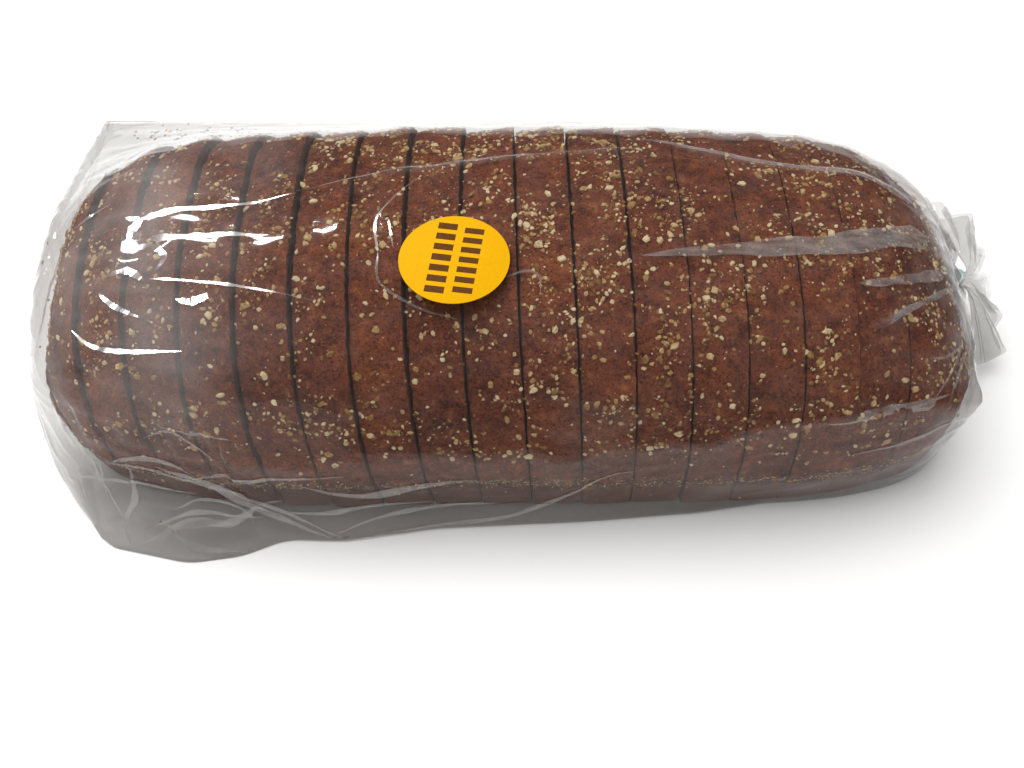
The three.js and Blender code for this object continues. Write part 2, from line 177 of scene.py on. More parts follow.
SHRED_HEIGHT = 23.5 * mm  # of the torn line
SHRED_WANDER = 2.2 * mm
SHRED_DEPTH = 0.6 * mm
SHRED_SOFTNESS = 0.8 * mm
LIP_ABOVE_SHRED = 2.2 * mm
LIP_REACH = 2 * mm
RIP_REACH = 3.6 * mm
LOAF_STEPS_ALONG = 300
LOAF_STEPS_AROUND = 300
CRUST_SMOOTH = math.radians(50)  # sharper edges than this stay edges
WELD_REACH = 0.01 * mm


def noise_at(points, scale, seed=0.0):
    """Smooth noise from -1 to 1 at each point. scale is the size of its lumps in metres."""
    shift = Vector((seed * 7.13, seed * 3.71, seed * 5.37))
    return np.array([noise.noise(Vector(p) / scale + shift) for p in points])


def smoothstep(value, low, high):
    t = np.clip((value - low) / (high - low), 0, 1)
    return t * t * (3 - 2 * t)


def vectors_of(items, key):
    """One vector for each item of a mesh, as rows of numbers."""
    flat = np.empty(len(items) * 3, np.float32)
    items.foreach_get(key, flat)
    return flat.reshape(-1, 3).astype(float)


def points_of(mesh):
    return vectors_of(mesh.vertices, "co")


def normals_of(mesh):
    return vectors_of(mesh.vertex_normals, "vector")


def move_points(mesh, points):
    mesh.vertices.foreach_set("co", np.asarray(points, np.float32).ravel())
    mesh.update()


def keep_on_points(mesh, name, values):
    """Keeps a number for each point under a name by which a material can read it."""
    attribute = mesh.attributes.new(name, "FLOAT", "POINT")
    attribute.data.foreach_set("value", np.asarray(values, np.float32))


def edit_whole(operator, **settings):
    """Runs a mesh operator on the whole of the active object."""
    bpy.ops.object.mode_set(mode="EDIT")
    bpy.ops.mesh.select_all(action="SELECT")
    operator(**settings)
    bpy.ops.object.mode_set(mode="OBJECT")


def rolled_sheet(name, steps_along, steps_around, shape):
    """A flat grid that is rolled up and welded: shape gives each point's place from its share along
    and its share around."""
    bpy.ops.object.select_all(action="DESELECT")
    bpy.ops.mesh.primitive_grid_add(x_subdivisions=steps_along, y_subdivisions=steps_around, size=1)
    sheet = bpy.context.object
    sheet.name = name
    flat = points_of(sheet.data) + 0.5
    move_points(sheet.data, shape(flat[:, 0], flat[:, 1]))
    edit_whole(bpy.ops.mesh.remove_doubles, threshold=WELD_REACH)
    edit_whole(bpy.ops.mesh.normals_make_consistent, inside=False)
    return sheet


def loaf_outline(steps=96):
    """The loaf's full section, Y and Z, from the middle of the base round by the front."""
    turn = np.linspace(0, math.pi, steps)
    power = 2 / CROWN_SQUARENESS
    crown_y = -CROWN_HALF_WIDTH * np.sign(np.cos(turn)) * np.abs(np.cos(turn)) ** power
    crown_z = CROWN_SPRING + (LOAF_HEIGHT - CROWN_SPRING) * np.sin(turn) ** power
    rise = np.linspace(0, 1, steps // 3)[:-1]
    side_z = CROWN_SPRING * rise
    swell = (CROWN_HALF_WIDTH - BASE_HALF_WIDTH) * np.sin(rise * math.pi / 2)
    under = np.clip(BASE_CORNER - side_z, 0, None)
    side_y = BASE_HALF_WIDTH + swell - BASE_CORNER + np.sqrt(BASE_CORNER**2 - under**2)
    y = np.concatenate([[0], -side_y, crown_y, side_y[::-1], [0]])
    z = np.concatenate([[0], side_z, crown_z, side_z[::-1], [0]])
    return y, z


def taper(share, squareness):
    """What is left of a half-width at a share of the way to a rounded end."""
    return (1 - share**squareness) ** (1 / squareness)


def heel_shares(share, sealed):
    """What is left of the width, of the crown and of the foot at a share of the way to a heel."""
    plan = np.where(sealed, *[taper(share, s) for s in PLAN_SQUARENESS])
    profile = np.where(sealed, *[taper(share, s) for s in PROFILE_SQUARENESS])
    return plan, profile, taper(share, FOOT_SQUARENESS)


def whole_loaf(u, v):
    outline_y, outline_z = loaf_outline()
    travelled = np.concatenate([[0], np.cumsum(np.hypot(np.diff(outline_y), np.diff(outline_z)))])
    y = np.interp(v * travelled[-1], travelled, outline_y)
    z = np.interp(v * travelled[-1], travelled, outline_z)
    q = np.abs(2 * u - 1)
    sealed = u < 0.5
    squareness = np.where(sealed, *PLAN_SQUARENESS)
    cap_plan = taper(BODY_REACH, squareness) * np.clip((1 - q) / (1 - BODY_STEPS), 0, 1)
    share = np.where(q < BODY_STEPS, q / BODY_STEPS * BODY_REACH, taper(cap_plan, squareness))
    plan, profile, foot = heel_shares(share, sealed)
    x = share * np.where(sealed, SEALED_HEEL_X, TIED_HEEL_X)
    above = np.where(z > HEEL_CENTRE_Z, profile, foot)
    z = HEEL_CENTRE_Z + (z - HEEL_CENTRE_Z) * above
    slope = np.where(sealed, *HEEL_SLOPE) * smoothstep(share, *SLOPE_SPAN)
    x *= 1 - slope * smoothstep(z, HEEL_CENTRE_Z, HEEL_CENTRE_Z + SLOPE_RISE)
    return np.column_stack([x, y * plan, z])


loaf = rolled_sheet("whole_loaf", LOAF_STEPS_ALONG, LOAF_STEPS_AROUND, whole_loaf)
place = points_of(loaf.data)
outward = normals_of(loaf.data)
height = place[:, 2]
over_table = place * [1, 1, 0]
torn = SHRED_HEIGHT + SHRED_WANDER * (
    noise_at(over_table, 21 * mm, 1) + 0.5 * noise_at(over_table, 6 * mm, 2)
)
on_crown = smoothstep(height, torn - SHRED_SOFTNESS, torn + SHRED_SOFTNESS)
lip = np.exp(-(((height - torn - LIP_ABOVE_SHRED) / LIP_REACH) ** 2))
cracked = np.clip(0.3 + noise_at(place, 9 * mm, 3) * 2, 0, 1)
off_floor = smoothstep(height, 0.5 * mm, 4 * mm)
lumps = 0.95 * noise_at(place, 34 * mm, 4) + 0.55 * noise_at(place, 9 * mm, 5)
grain = 0.30 * noise_at(place, 3.2 * mm, 6) + 0.22 * noise_at(place, 1.6 * mm, 7)
relief = on_crown * (lumps + grain) * mm
relief += (1 - on_crown) * (0.35 * lumps * mm - SHRED_DEPTH)
relief += lip * (0.2 * mm + 0.5 * mm * cracked)
ragged = 1 + 0.6 * noise_at(place, 5 * mm, 10)
rip = np.exp(-(((height - torn) / (RIP_REACH * ragged)) ** 2)) * (0.6 + 0.4 * cracked)
relief += rip * (0.8 * grain - 0.1 - 0.4 * cracked) * mm
move_points(loaf.data, place + outward * (relief * off_floor)[:, None])
keep_on_points(loaf.data, "crown", on_crown)
keep_on_points(loaf.data, "rip", rip)


# The slices: a slicing machine cuts the loaf upright, and in the bag all of them lean towards the
# sealed end, so that their tops step down like a saw. The gaps open towards the back at that end.
SLICE_LEAN = math.radians(-3.3)
LEAN_PIVOT_Z = 60 * mm
LEAN_SPREAD = math.radians(0.35)
YAW_SPREAD = math.radians(0.2)
SHIFT_SPREAD = 0.7 * mm
GAP_AT_FRONT = 0.3 * mm
GAP_AT_BACK_SEALED = 1.6 * mm
GAP_AT_BACK_TIED = 0.4 * mm
SOLE_HEIGHT = 0.4 * mm  # the film lies between the slices and the table
GAP_FADE = 2.2  # how soon the gaps narrow, from the sealed end on
GAP_SPREAD = 0.25
STEP_SEALED = 1.8 * mm  # by which a slice's top rises towards the tied end
STEP_TIED = 0.6 * mm
STEP_FADE = 1.3
STEP_SPAN = (35 * mm, 65 * mm)  # heights between which the step sets in
EDGE_CHIP = 0.45 * mm  # the blade tears bits off the crust beside each cut
EDGE_ROUND = 0.35 * mm
EDGE_CRUMBLE = 2.4 * mm  # size of the bits
EDGE_SPAN = (0.38, 0.47)  # of the slice's thickness, from its middle
CUT_FACE_CORNERS = 60  # only a cut face has more corners than this

random.seed(17)
first_gap = -(SLICE_COUNT - 2) / 2 * SLICE_PITCH


def select_only(piece):
    bpy.ops.object.select_all(action="DESELECT")
    piece.select_set(True)
    bpy.context.view_layer.objects.active = piece


def bisect(piece, place, normal, keep_left):
    """Cuts a piece at a plane, keeps one side and closes it with a flat face."""
    select_only(piece)
    edit_whole(
        bpy.ops.mesh.bisect,
        plane_co=place,
        plane_no=normal,
        use_fill=True,
        clear_outer=keep_left,
        clear_inner=not keep_left,
    )


def copy_of(source, name):
    copied = source.copy()
    copied.data = source.data.copy()
    copied.name = name
    bpy.context.scene.collection.objects.link(copied)
    return copied


slices = []
half_gap = Vector((GAP_AT_FRONT / 2, 0, 0))
for gap in range(SLICE_COUNT - 1):
    nearness = (1 - gap / (SLICE_COUNT - 2)) ** GAP_FADE
    back_gap = GAP_AT_BACK_TIED + (GAP_AT_BACK_SEALED - GAP_AT_BACK_TIED) * nearness
    back_gap *= random.uniform(1 - GAP_SPREAD, 1 + GAP_SPREAD)
    opening = (back_gap - GAP_AT_FRONT) / (2 * CROWN_HALF_WIDTH + LOAF_HEIGHT / 4) / 2
    hinge = Vector((first_gap + gap * SLICE_PITCH, -CROWN_HALF_WIDTH, 0))
    cut = copy_of(loaf, f"slice_{gap + 1:02d}")
    bisect(cut, hinge - half_gap, Vector((1, opening, opening / 4)), True)
    bisect(loaf, hinge + half_gap, Vector((1, -opening, -opening / 4)), False)
    slices.append(cut)
loaf.name = f"slice_{SLICE_COUNT:02d}"
slices.append(loaf)

for number, piece in enumerate(slices):
    x = first_gap + (number - 0.5) * SLICE_PITCH
    pivot = Matrix.Translation((x, 0, LEAN_PIVOT_Z))
    lean = SLICE_LEAN + random.uniform(-1, 1) * LEAN_SPREAD
    yaw = random.uniform(-1, 1) * YAW_SPREAD
    shift = Vector((0, random.uniform(-1, 1), random.uniform(-0.5, 0.5))) * SHIFT_SPREAD
    turned = Matrix.Rotation(lean, 4, "Y") @ Matrix.Rotation(yaw, 4, "Z")
    place = points_of(piece.data)
    step = STEP_TIED + (STEP_SEALED - STEP_TIED) * (1 - number / SLICE_COUNT) ** STEP_FADE
    side = np.clip((place[:, 0] - x) / SLICE_PITCH, -0.5, 0.5)
    outwards = place[:, 1:] - [0, HEEL_CENTRE_Z]
    outwards /= np.linalg.norm(outwards, axis=1)[:, None] + 1 * mm
    place[:, 1:] += outwards * (step * side * smoothstep(place[:, 2], *STEP_SPAN))[:, None]
    at_cut = smoothstep(np.abs(side), *EDGE_SPAN)
    chipped = np.clip(noise_at(place, EDGE_CRUMBLE, 20 + number) + 0.25, 0, 1)
    place[:, 0] -= np.sign(side) * at_cut * chipped * (EDGE_CHIP * (1.15 - number / SLICE_COUNT))
    place -= normals_of(piece.data) * (at_cut * EDGE_ROUND * (0.6 + chipped))[:, None]
    move_points(piece.data, place)
    piece.data.transform(Matrix.Translation(shift) @ pivot @ turned @ pivot.inverted())
    place = points_of(piece.data)
    place[:, 2] = np.maximum(place[:, 2], SOLE_HEIGHT)
    move_points(piece.data, place)


def texture(made, kind, scale, squeeze=None, **inputs):
    """A texture that stays put on the object. squeeze draws it out along an axis."""
    where = node(made, "TexCoord").outputs["Object"]
    if squeeze:
        where = node(made, "Mapping", {"Vector": where, "Scale": squeeze})
    return node(made, kind, {"Vector": where, "Scale": scale, **inputs})


def blend(made, share, first, second, **settings):
    """The mix of two colours."""
    inputs = {0: share, 6: first, 7: second}
    return node(made, "Mix", inputs, data_type="RGBA", **settings).outputs[2]


def matt_surface(made, tone, roughness, specular, height, strength, depth):
    """Gives a material a dull surface with a fine relief."""
    relief = node(made, "Bump", {"Strength": strength, "Distance": depth, "Height": height})
    inputs = {"Base Color": tone, "Roughness": roughness, "Specular IOR Level": specular}
    surface = node(made, "BsdfPrincipled", {**inputs, "Normal": relief})
    node(made, "OutputMaterial", {"Surface": surface})


# Crust: dark rye and wheat dough with malt, baked dry. It is reddish brown with near-black and
# foxy patches, gritty with bran, and dull; the sides that the tin held are smoother and greyer,
# and darker by painted shade of the loaf's lower sides.
crust = new_material("wholegrain_crust")
patches = texture(crust, "TexNoise", 34, Detail=4, Roughness=0.6)
mottle = texture(crust, "TexNoise", 230, Detail=6, Roughness=0.7)
bran = texture(crust, "TexVoronoi", 560).outputs["Distance"]
grit = texture(crust, "TexNoise", 1100, Detail=4, Roughness=0.75)
bake = node(
    crust,
    "ValToRGB",
    {0: patches},
    [(0.30, "#562519"), (0.46, "#7d412b"), (0.58, "#95502f"), (0.72, "#b56a35")],
)
spots = node(
    crust,
    "ValToRGB",
    {0: mottle},
    [(0.36, "#37160e"), (0.48, "#7d4029"), (0.58, "#985338"), (0.70, "#c4824f")],
)
baked = blend(crust, 0.55, bake, spots)
bran_fleck = node(crust, "MapRange", {0: bran, 1: 0.05, 2: 0.22, 3: 0.55, 4: 0.0})
flecked = blend(crust, bran_fleck, baked, "#ba7c4d")
grit_tone = node(crust, "ValToRGB", {0: grit}, [(0.36, "#8c857f"), (0.50, "#ffffff")])
gritty = blend(crust, 1.0, flecked, grit_tone, blend_type="MULTIPLY")
# Below the torn line the crust turns darker: the smoother tin side, with painted shade of the loaf's
# lower sides.
crown_share = node(crust, "Attribute", attribute_name="crown").outputs["Fac"]
tin_side_shade_share = node(crust, "MapRange", {0: crown_share, 3: 0.7, 4: 0.0})
sided_with_painted_shade = blend(crust, tin_side_shade_share, gritty, "#643923")
# Along the torn line: pale crumb, and near-black flecks that are painted shade in its cracks.
rip_share = node(crust, "Attribute", attribute_name="rip").outputs["Fac"]
torn_crumb_and_crack_shade = node(
    crust,
    "ValToRGB",
    {0: mottle},
    [(0.40, "#1f0f09"), (0.50, "#4a2a1a"), (0.57, "#9c7447"), (0.66, "#d2b078")],
)
crust_tone_with_shade = blend(crust, rip_share, sided_with_painted_shade, torn_crumb_and_crack_shade)
grit_height = node(crust, "Math", {0: grit, 1: mottle}, operation="ADD")
matt_surface(crust, crust_tone_with_shade, 0.75, 0.1, grit_height, 1.0, 0.7 * mm)

# Crumb: the cut faces, moist and close, dark brown with pores of about 2 mm and pale bran.
crumb = new_material("rye_crumb")
pores = texture(crumb, "TexVoronoi", 430).outputs["Distance"]
crumb_noise = texture(crumb, "TexNoise", 260, Detail=5, Roughness=0.7)
crumb_tone = node(
    crumb, "ValToRGB", {0: crumb_noise}, [(0.3, "#54301f"), (0.52, "#7b4c34"), (0.75, "#9a6b4a")]
)
matt_surface(crumb, crumb_tone, 0.85, 0.2, pores, 0.9, 0.8 * mm)

for piece in slices:
    piece.data.materials.append(crust)
    piece.data.materials.append(crumb)
    for face in piece.data.polygons:
        face.material_index = 1 if len(face.vertices) > CUT_FACE_CORNERS else 0
    select_only(piece)
    bpy.ops.object.shade_smooth_by_angle(angle=CRUST_SMOOTH)
    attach(piece, "root")
    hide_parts("bread_bag")


# Oat flakes: rolled oats and bran strewn on the dough before it was baked, so they stick to the
# crown in drifts and thin out down the sides. They are dry, pale tan and toasted at the edges.
FLAKE_COUNT = 5400
FLAKE_SIZES = [(0.50, 1.1 * mm, 1.6 * mm), (0.37, 1.6 * mm, 2.4 * mm), (0.13, 2.4 * mm, 3.8 * mm)]
SPECK_COUNT = 7600
SPECK_SIZES = [(1.0, 0.45 * mm, 1.0 * mm)]
FLAKE_THICKNESS = 0.30  # of its width
FLAKE_SINK = 0.10
FLAKE_TILT = 0.28
FLAKE_FORMS = 9
SPOT_SPREAD = 0.6 * mm
DRIFTS = [
    # places where the flakes lie thick: middle and reach along and across
    ((-86, 14), (15, 14)),
    ((-57, 3), (9, 18)),
    ((25, -12), (18, 26)),
    ((57, -42), (20, 18)),
    ((-20, 30), (25, 9)),
    ((112, 8), (16, 16)),
]

random.seed(4)


def crust_faces(piece):
    """Centres, normals and areas of a slice's crust faces."""
    faces = [f for f in piece.data.polygons if f.material_index == 0]
    return np.array([(*f.center, *f.normal, f.area) for f in faces])


def chip_form(sides):
    """An uneven chip of unit width: a rim, and a smaller raised face above and below."""
    turns = [(i + random.uniform(-0.3, 0.3)) / sides * math.tau for i in range(sides)]
    reach = [random.uniform(0.38, 0.56) for _ in turns]
    rim = [(math.cos(t) * r, math.sin(t) * r * 0.8) for t, r in zip(turns, reach)]
    bend = random.uniform(-0.5, 0.5)
    lift = [bend * x * x + random.uniform(-0.05, 0.05) for x, _ in rim]
    corners = [(x, y, z) for (x, y), z in zip(rim, lift)]
    for half in (FLAKE_THICKNESS / 2, -FLAKE_THICKNESS / 2):
        corners += [(x * 0.72, y * 0.72, z * 0.6 + half) for (x, y), z in zip(rim, lift)]
    faces = [tuple(range(sides, 2 * sides)), tuple(reversed(range(2 * sides, 3 * sides)))]
    for i in range(sides):
        j = (i + 1) % sides
        faces.append((i, j, sides + j, sides + i))
        faces.append((j, i, 2 * sides + i, 2 * sides + j))
    return np.array(corners), faces


def mesh_object(name, corners, faces):
    mesh = bpy.data.meshes.new(name)
    mesh.from_pydata(corners, [], faces)
    made = bpy.data.objects.new(name, mesh)
    bpy.context.scene.collection.objects.link(made)
    return made


def strewn(name, forms, placements):
    """One mesh of many small chips. A placement is a form's number, a matrix and a tone from 0 to 1,
    which the mesh keeps for the material."""
    corners, faces, tones = [], [], []
    for form, matrix, tone in placements:
        base = len(corners)
        corners.extend(matrix @ Vector(c) for c in forms[form][0])
        faces.extend(tuple(base + i for i in f) for f in forms[form][1])
        tones.extend([tone] * len(forms[form][0]))
    made = mesh_object(name, corners, faces)
    keep_on_points(made.data, "tone", tones)
    return made


all_crust = np.concatenate([crust_faces(piece) for piece in slices])
flake_place = all_crust[:, :3]
drift = 0.5 + 0.5 * noise_at(flake_place, 17 * mm, 8) + 0.45 * noise_at(flake_place, 7 * mm, 9)
on_top = smoothstep(flake_place[:, 2], 31 * mm, 58 * mm) ** 1.3 + 0.02
on_heel = smoothstep(-flake_place[:, 0], 144 * mm, 154 * mm)
on_top = np.maximum(on_top, 0.9 * on_heel * smoothstep(flake_place[:, 2], 8 * mm, 35 * mm))
chance = all_crust[:, 6] * np.clip(drift, 0.04, None) ** 2.2 * on_top
chance *= flake_place[:, 2] > 3 * mm
for middle, reach in DRIFTS:
    away = (flake_place[:, :2] - np.array(middle) * mm) / (np.array(reach) * mm)
    chance *= 1 + 1.6 * np.exp(-(away**2).sum(axis=1))
speck_chance = chance + all_crust[:, 6] * 5 * np.exp(
    -(((flake_place[:, 2] - SHRED_HEIGHT - 1 * mm) / (3 * mm)) ** 2)
)


def strewn_chips(name, count, sizes, sides, seed, chance):
    """Chips on the crust, each lying on its face, a little tilted, and sunk in."""
    forms = [chip_form(sides) for _ in range(FLAKE_FORMS)]
    spots = []
    picks = np.random.default_rng(seed).choice(len(chance), count, p=chance / chance.sum())
    for index in picks:
        row = all_crust[index]
        low, high = random.choices(sizes, [s[0] for s in sizes])[0][1:]
        size = random.uniform(low, high)
        side = Vector([random.uniform(-1, 1) for _ in range(3)]) * SPOT_SPREAD
        normal = Vector(row[3:6])
        tilt = Vector([random.gauss(0, FLAKE_TILT) for _ in range(3)])
        facing = (normal + tilt).normalized().to_track_quat("Z", "Y").to_matrix().to_4x4()
        spin = Matrix.Rotation(random.uniform(0, math.tau), 4, "Z")
        scale = Matrix.Diagonal((size, size * random.uniform(0.65, 1), size * 0.9, 1))
        centre = Vector(row[:3]) + side - side.dot(normal) * normal
        centre += normal * size * (FLAKE_THICKNESS / 2 - FLAKE_SINK)
        matrix = Matrix.Translation(centre) @ facing @ spin @ scale
        spots.append((random.randrange(len(forms)), matrix, random.random()))
    return strewn(name, forms, spots)


oat_flakes = strewn_chips("oat_flakes", FLAKE_COUNT, FLAKE_SIZES, 6, 5, chance)
oat_specks = strewn_chips("oat_specks", SPECK_COUNT, SPECK_SIZES, 5, 6, speck_chance)

# Toasted oats: dry flakes, pale tan, and browner where the oven caught them.
oats = new_material("toasted_oats")
chip_tone = node(oats, "Attribute", attribute_name="tone").outputs["Fac"]
husk = texture(oats, "TexNoise", 900, Detail=3)
shade = node(oats, "Math", {0: husk, 1: -0.5}, operation="ADD")
toast = node(oats, "Math", {0: chip_tone, 1: shade}, operation="ADD")
oat_tone = node(
    oats,
    "ValToRGB",
    {0: toast},
    [(0.00, "#80552c"), (0.28, "#a98048"), (0.58, "#c8a56f"), (0.92, "#efdcb0")],
)
matt_surface(oats, oat_tone, 0.7, 0.15, husk, 0.5, 0.2 * mm)
for chips in (oat_flakes, oat_specks):
    chips.data.materials.append(oats)
    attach(chips, "root")
    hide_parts("bread_bag")


# The bag: a flat tube of clear polythene film, 0.03 mm thick, heat-sealed straight across one end.
# It lies taut over the loaf from crease to crease, its two sealed corners stand free, and at the
# other end it is drawn together to a neck with its tail fanned out behind.
FILM_STAND_OFF = 0.6 * mm
FILM_OUTLINE_STEPS = 60
SECTION_CENTRE = np.array([0, 40]) * mm
BACK_EAR = np.array([-151, 79, 62]) * mm
RIDGE_END_X = -30 * mm
SHOULDER = np.array([61, 75]) * mm
FRONT_CREASE = mm * np.array(
    [(-150, -68), (-147, -71.5), (-144.5, -75), (-123, -80), (-114, -82), (-95.5, -79.5)]
    + [(-80, -73), (-60, -73.8), (-25, -69), (30, -67), (70, -64), (110, -58)]
)
CREASE_BLUR = np.array([-4, -2, 0, 2, 4]) * mm
FRONT_RIDGE = mm * np.array(
    [(-90, -68, 46), (-50, -71, 52), (15, -71, 52.5), (30, -70, 52)]
    + [(42, -69.5, 54), (81, -69, 60), (111, -66, 63), (150, -54, 58)]
)
RIDGE_WANDER = 3.5 * mm
SKIRT_SAG_SEALED = 0.6  # share of the way from a straight wall to the loaf's foot
SKIRT_SAG_TIED = 0.12
SAG_SPAN = (50 * mm, 90 * mm)  # from the middle towards the sealed end
HEM_GAP = 1.5 * mm  # between the loaf's foot and the skirt
SEAL_LINE = [(-151, 79, 62), (-154, 48, 60), (-159, 18, 54), (-165, -10, 42), (-167, -28, 31)]
SEAL_LINE += [(-163, -44, 15), (-155, -57, 5), (-148.5, -65, 0.6)]
TAIL_RIM = [(169, 44, 42), (185, 45, 39), (191, 33, 31), (195, 17, 20), (198, 0, 10), (183, -9, 11)]
NECK = np.array([170, 8, 46]) * mm
NECK_AXIS = np.array([0.97, 0.02, -0.24]) / np.linalg.norm([0.97, 0.02, -0.24])
TAIL_FACE = np.array([0.75, 0, 0.66])
SEAL_FACE = (0.35, 0, 1)
SEAL_BOW = 8 * mm  # by which the film bellies before it turns in to the seal
SEAL_BOW_HEIGHT = 14 * mm
NECK_RADIUS = 2.3 * mm
NECK_LENGTH = 7 * mm
NECK_PLEATS = 13
NECK_PLEAT_DEPTH = 0.35 * mm
NECK_TURN = math.radians(27)
FIRST_STATION = -147 * mm
LAST_STATION = 160 * mm
FILM_LEAN = -0.058  # as the slices lean, in metres per metre of height
SEAM_THICKNESS = 0.5 * mm
RIM_THICKNESS = 1.2 * mm
PLEAT_HEIGHT = 3.2 * mm
RUFFLE_HEIGHT = 1.7 * mm
STEPS_OVER = 118  # of a ring: over the loaf, down the front, under it and up the back
STEPS_FRONT = 34
STEPS_UNDER = 24
STEPS_BACK = 36
RING_STEPS = STEPS_OVER + STEPS_FRONT + STEPS_UNDER + STEPS_BACK
SEAL_RINGS = 46
BODY_RINGS = 300
GATHER_RINGS = 52
TAIL_RINGS = 34


def hull(points):
    """Convex outline of points in a plane, the form that taut film takes over them."""
    ordered = sorted(map(tuple, points))

    def half(line):
        chain = []
        for p in line:
            while len(chain) > 1:
                (ax, ay), (bx, by) = chain[-2], chain[-1]
                if (bx - ax) * (p[1] - ay) - (by - ay) * (p[0] - ax) > 0:
                    break
                chain.pop()
            chain.append(p)
        return chain[:-1]

    return np.array(half(ordered) + half(ordered[::-1]))


def turn_of(y, z):
    """Direction of a point of a section, seen from the section's middle."""
    return math.atan2(z - SECTION_CENTRE[1], y - SECTION_CENTRE[0])


def film_station(x):
    """One ring of the film at x, from the back crease over the loaf, round and under it."""
    sealed = x < 0
    share = np.array(x / (SEALED_HEEL_X if sealed else TIED_HEEL_X))
    plan, profile = heel_shares(share, np.array(sealed))[:2]
    y, z = loaf_outline(FILM_OUTLINE_STEPS)
    section = np.column_stack([y * plan, z])
    above = z > HEEL_CENTRE_Z
    section[above, 1] = HEEL_CENTRE_Z + (z[above] - HEEL_CENTRE_Z) * profile
    if x > RIDGE_END_X:
        back = SHOULDER * [plan, profile]
    else:
        t = (RIDGE_END_X - x) / (RIDGE_END_X - BACK_EAR[0])
        back = SHOULDER * (1 - t) + BACK_EAR[1:] * t
    base_y = BASE_HALF_WIDTH * plan
    crease_y = np.interp(x + CREASE_BLUR, FRONT_CREASE[:, 0], FRONT_CREASE[:, 1]).mean()
    front_y = min(crease_y if x < FRONT_CREASE[-1, 0] else 0, -base_y)
    ridge = np.array([np.interp(x, FRONT_RIDGE[:, 0], FRONT_RIDGE[:, i]) for i in (1, 2)])
    ridge += np.array([0.5, 1]) * noise.noise(Vector((x / (16 * mm), 0.5, 0))) * RIDGE_WANDER
    corners = [*section, back, (front_y, 0)]
    if x > FRONT_RIDGE[0, 0]:
        corners.append(ridge)
    outline = hull(corners)

    crease = turn_of(*back)
    front_corner = turn_of(front_y, 0) + math.tau
    back_corner = turn_of(base_y, 0) + math.tau
    over = np.linspace(crease, math.pi, STEPS_OVER, endpoint=False)
    front = np.linspace(math.pi, front_corner, STEPS_FRONT, endpoint=False)
    behind = np.linspace(back_corner, crease + math.tau, STEPS_BACK + 1)
    angles = np.concatenate([over, front, behind])
    direction = np.column_stack([np.cos(angles), np.sin(angles)])
    edge = np.roll(outline, -1, axis=0) - outline
    normal = np.column_stack([edge[:, 1], -edge[:, 0]])
    normal /= np.linalg.norm(normal, axis=1)[:, None]
    slope = direction @ normal.T
    offset = np.einsum("ij,ij->i", normal, outline - SECTION_CENTRE)
    reach = np.where(slope > 1e-6, offset / np.maximum(slope, 1e-6), np.inf).min(axis=1)
    ring = SECTION_CENTRE + direction * (reach + FILM_STAND_OFF)[:, None]
    ring[:, 1] = np.maximum(ring[:, 1], 0)

    foot = int(np.argmin(np.abs(outline - [front_y, 0]).sum(axis=1)))
    wall = outline[foot - 1] - outline[foot]
    up_wall = np.clip((ring - outline[foot]) @ wall / (wall @ wall), 0, 1)
    up_wall[ring[:, 0] > -0.8 * base_y] = 0
    inwards = np.array([-base_y - HEM_GAP, 0]) - (outline[foot] + outline[foot - 1]) / 2
    loose = SKIRT_SAG_TIED + (SKIRT_SAG_SEALED - SKIRT_SAG_TIED) * smoothstep(-x, *SAG_SPAN)
    loose *= smoothstep(-base_y - front_y, 0, 5 * mm)
    ring += (2 * up_wall * (1 - up_wall) * loose)[:, None] * inwards
    under_y = np.linspace(front_y, base_y, STEPS_UNDER, endpoint=False)
    cut = STEPS_OVER + STEPS_FRONT
    ring = np.concatenate([ring[:cut], np.column_stack([under_y, 0 * under_y]), ring[cut:]])
    lean = FILM_LEAN * (ring[:, 1] - LEAN_PIVOT_Z)
    return np.column_stack([x + lean, ring])


def curve_through(points, shares):
    """Places on a smooth curve through points, at shares of its length."""
    line = np.array(points, float)
    line = np.concatenate([[2 * line[0] - line[1]], line, [2 * line[-1] - line[-2]]])
    fine = []
    for a, b, c, d in zip(line, line[1:], line[2:], line[3:]):
        for t in np.linspace(0, 1, 16, endpoint=False):
            turn = (c - a) * t + (2 * a - 5 * b + 4 * c - d) * t**2
            fine.append(0.5 * (2 * b + turn + (3 * b - a - 3 * c + d) * t**3))
    fine = np.array(fine + [line[-2]])
    run = np.concatenate([[0], np.cumsum(np.linalg.norm(np.diff(fine, axis=0), axis=1))])
    return np.column_stack([np.interp(shares * run[-1], run, fine[:, i]) for i in range(3)])


def seam_ring(points, face, thickness):
    """A ring pressed flat onto a seam, its two films a little apart, and its shares along it."""
    j = np.arange(RING_STEPS + 1)
    top = STEPS_OVER + STEPS_FRONT
    share = np.where(j <= top, j / top, (RING_STEPS - j) / (RING_STEPS - top))
    side = np.where(j < top, 1, -1) * np.where((j == 0) | (j == top) | (j == RING_STEPS), 0, 1)
    face = np.array(face) / np.linalg.norm(face)
    line = curve_through(np.array(points) * mm, share)
    return line + face * (side * thickness / 2)[:, None], share


def ramp_rings(start, end, heading, count):
    """Rings between two rings, each point on a curve that first heads for a point of its own."""
    shares = np.arange(1, count + 1) / count
    return [(1 - t) ** 2 * start + 2 * t * (1 - t) * heading + t * t * end for t in shares]


def neck_ring(offset):
    up = np.array([0, 0, 1]) - NECK_AXIS * NECK_AXIS[2]
    up /= np.linalg.norm(up)
    across = np.cross(up, NECK_AXIS)
    turn = np.arange(RING_STEPS + 1) / RING_STEPS * math.tau + NECK_TURN
    radius = NECK_RADIUS - NECK_PLEAT_DEPTH * (1 - np.cos(NECK_PLEATS * turn)) / 2
    round_place = across * (np.cos(turn) * radius)[:, None] + up * (np.sin(turn) * radius)[:, None]
    return NECK + NECK_AXIS * offset + round_place


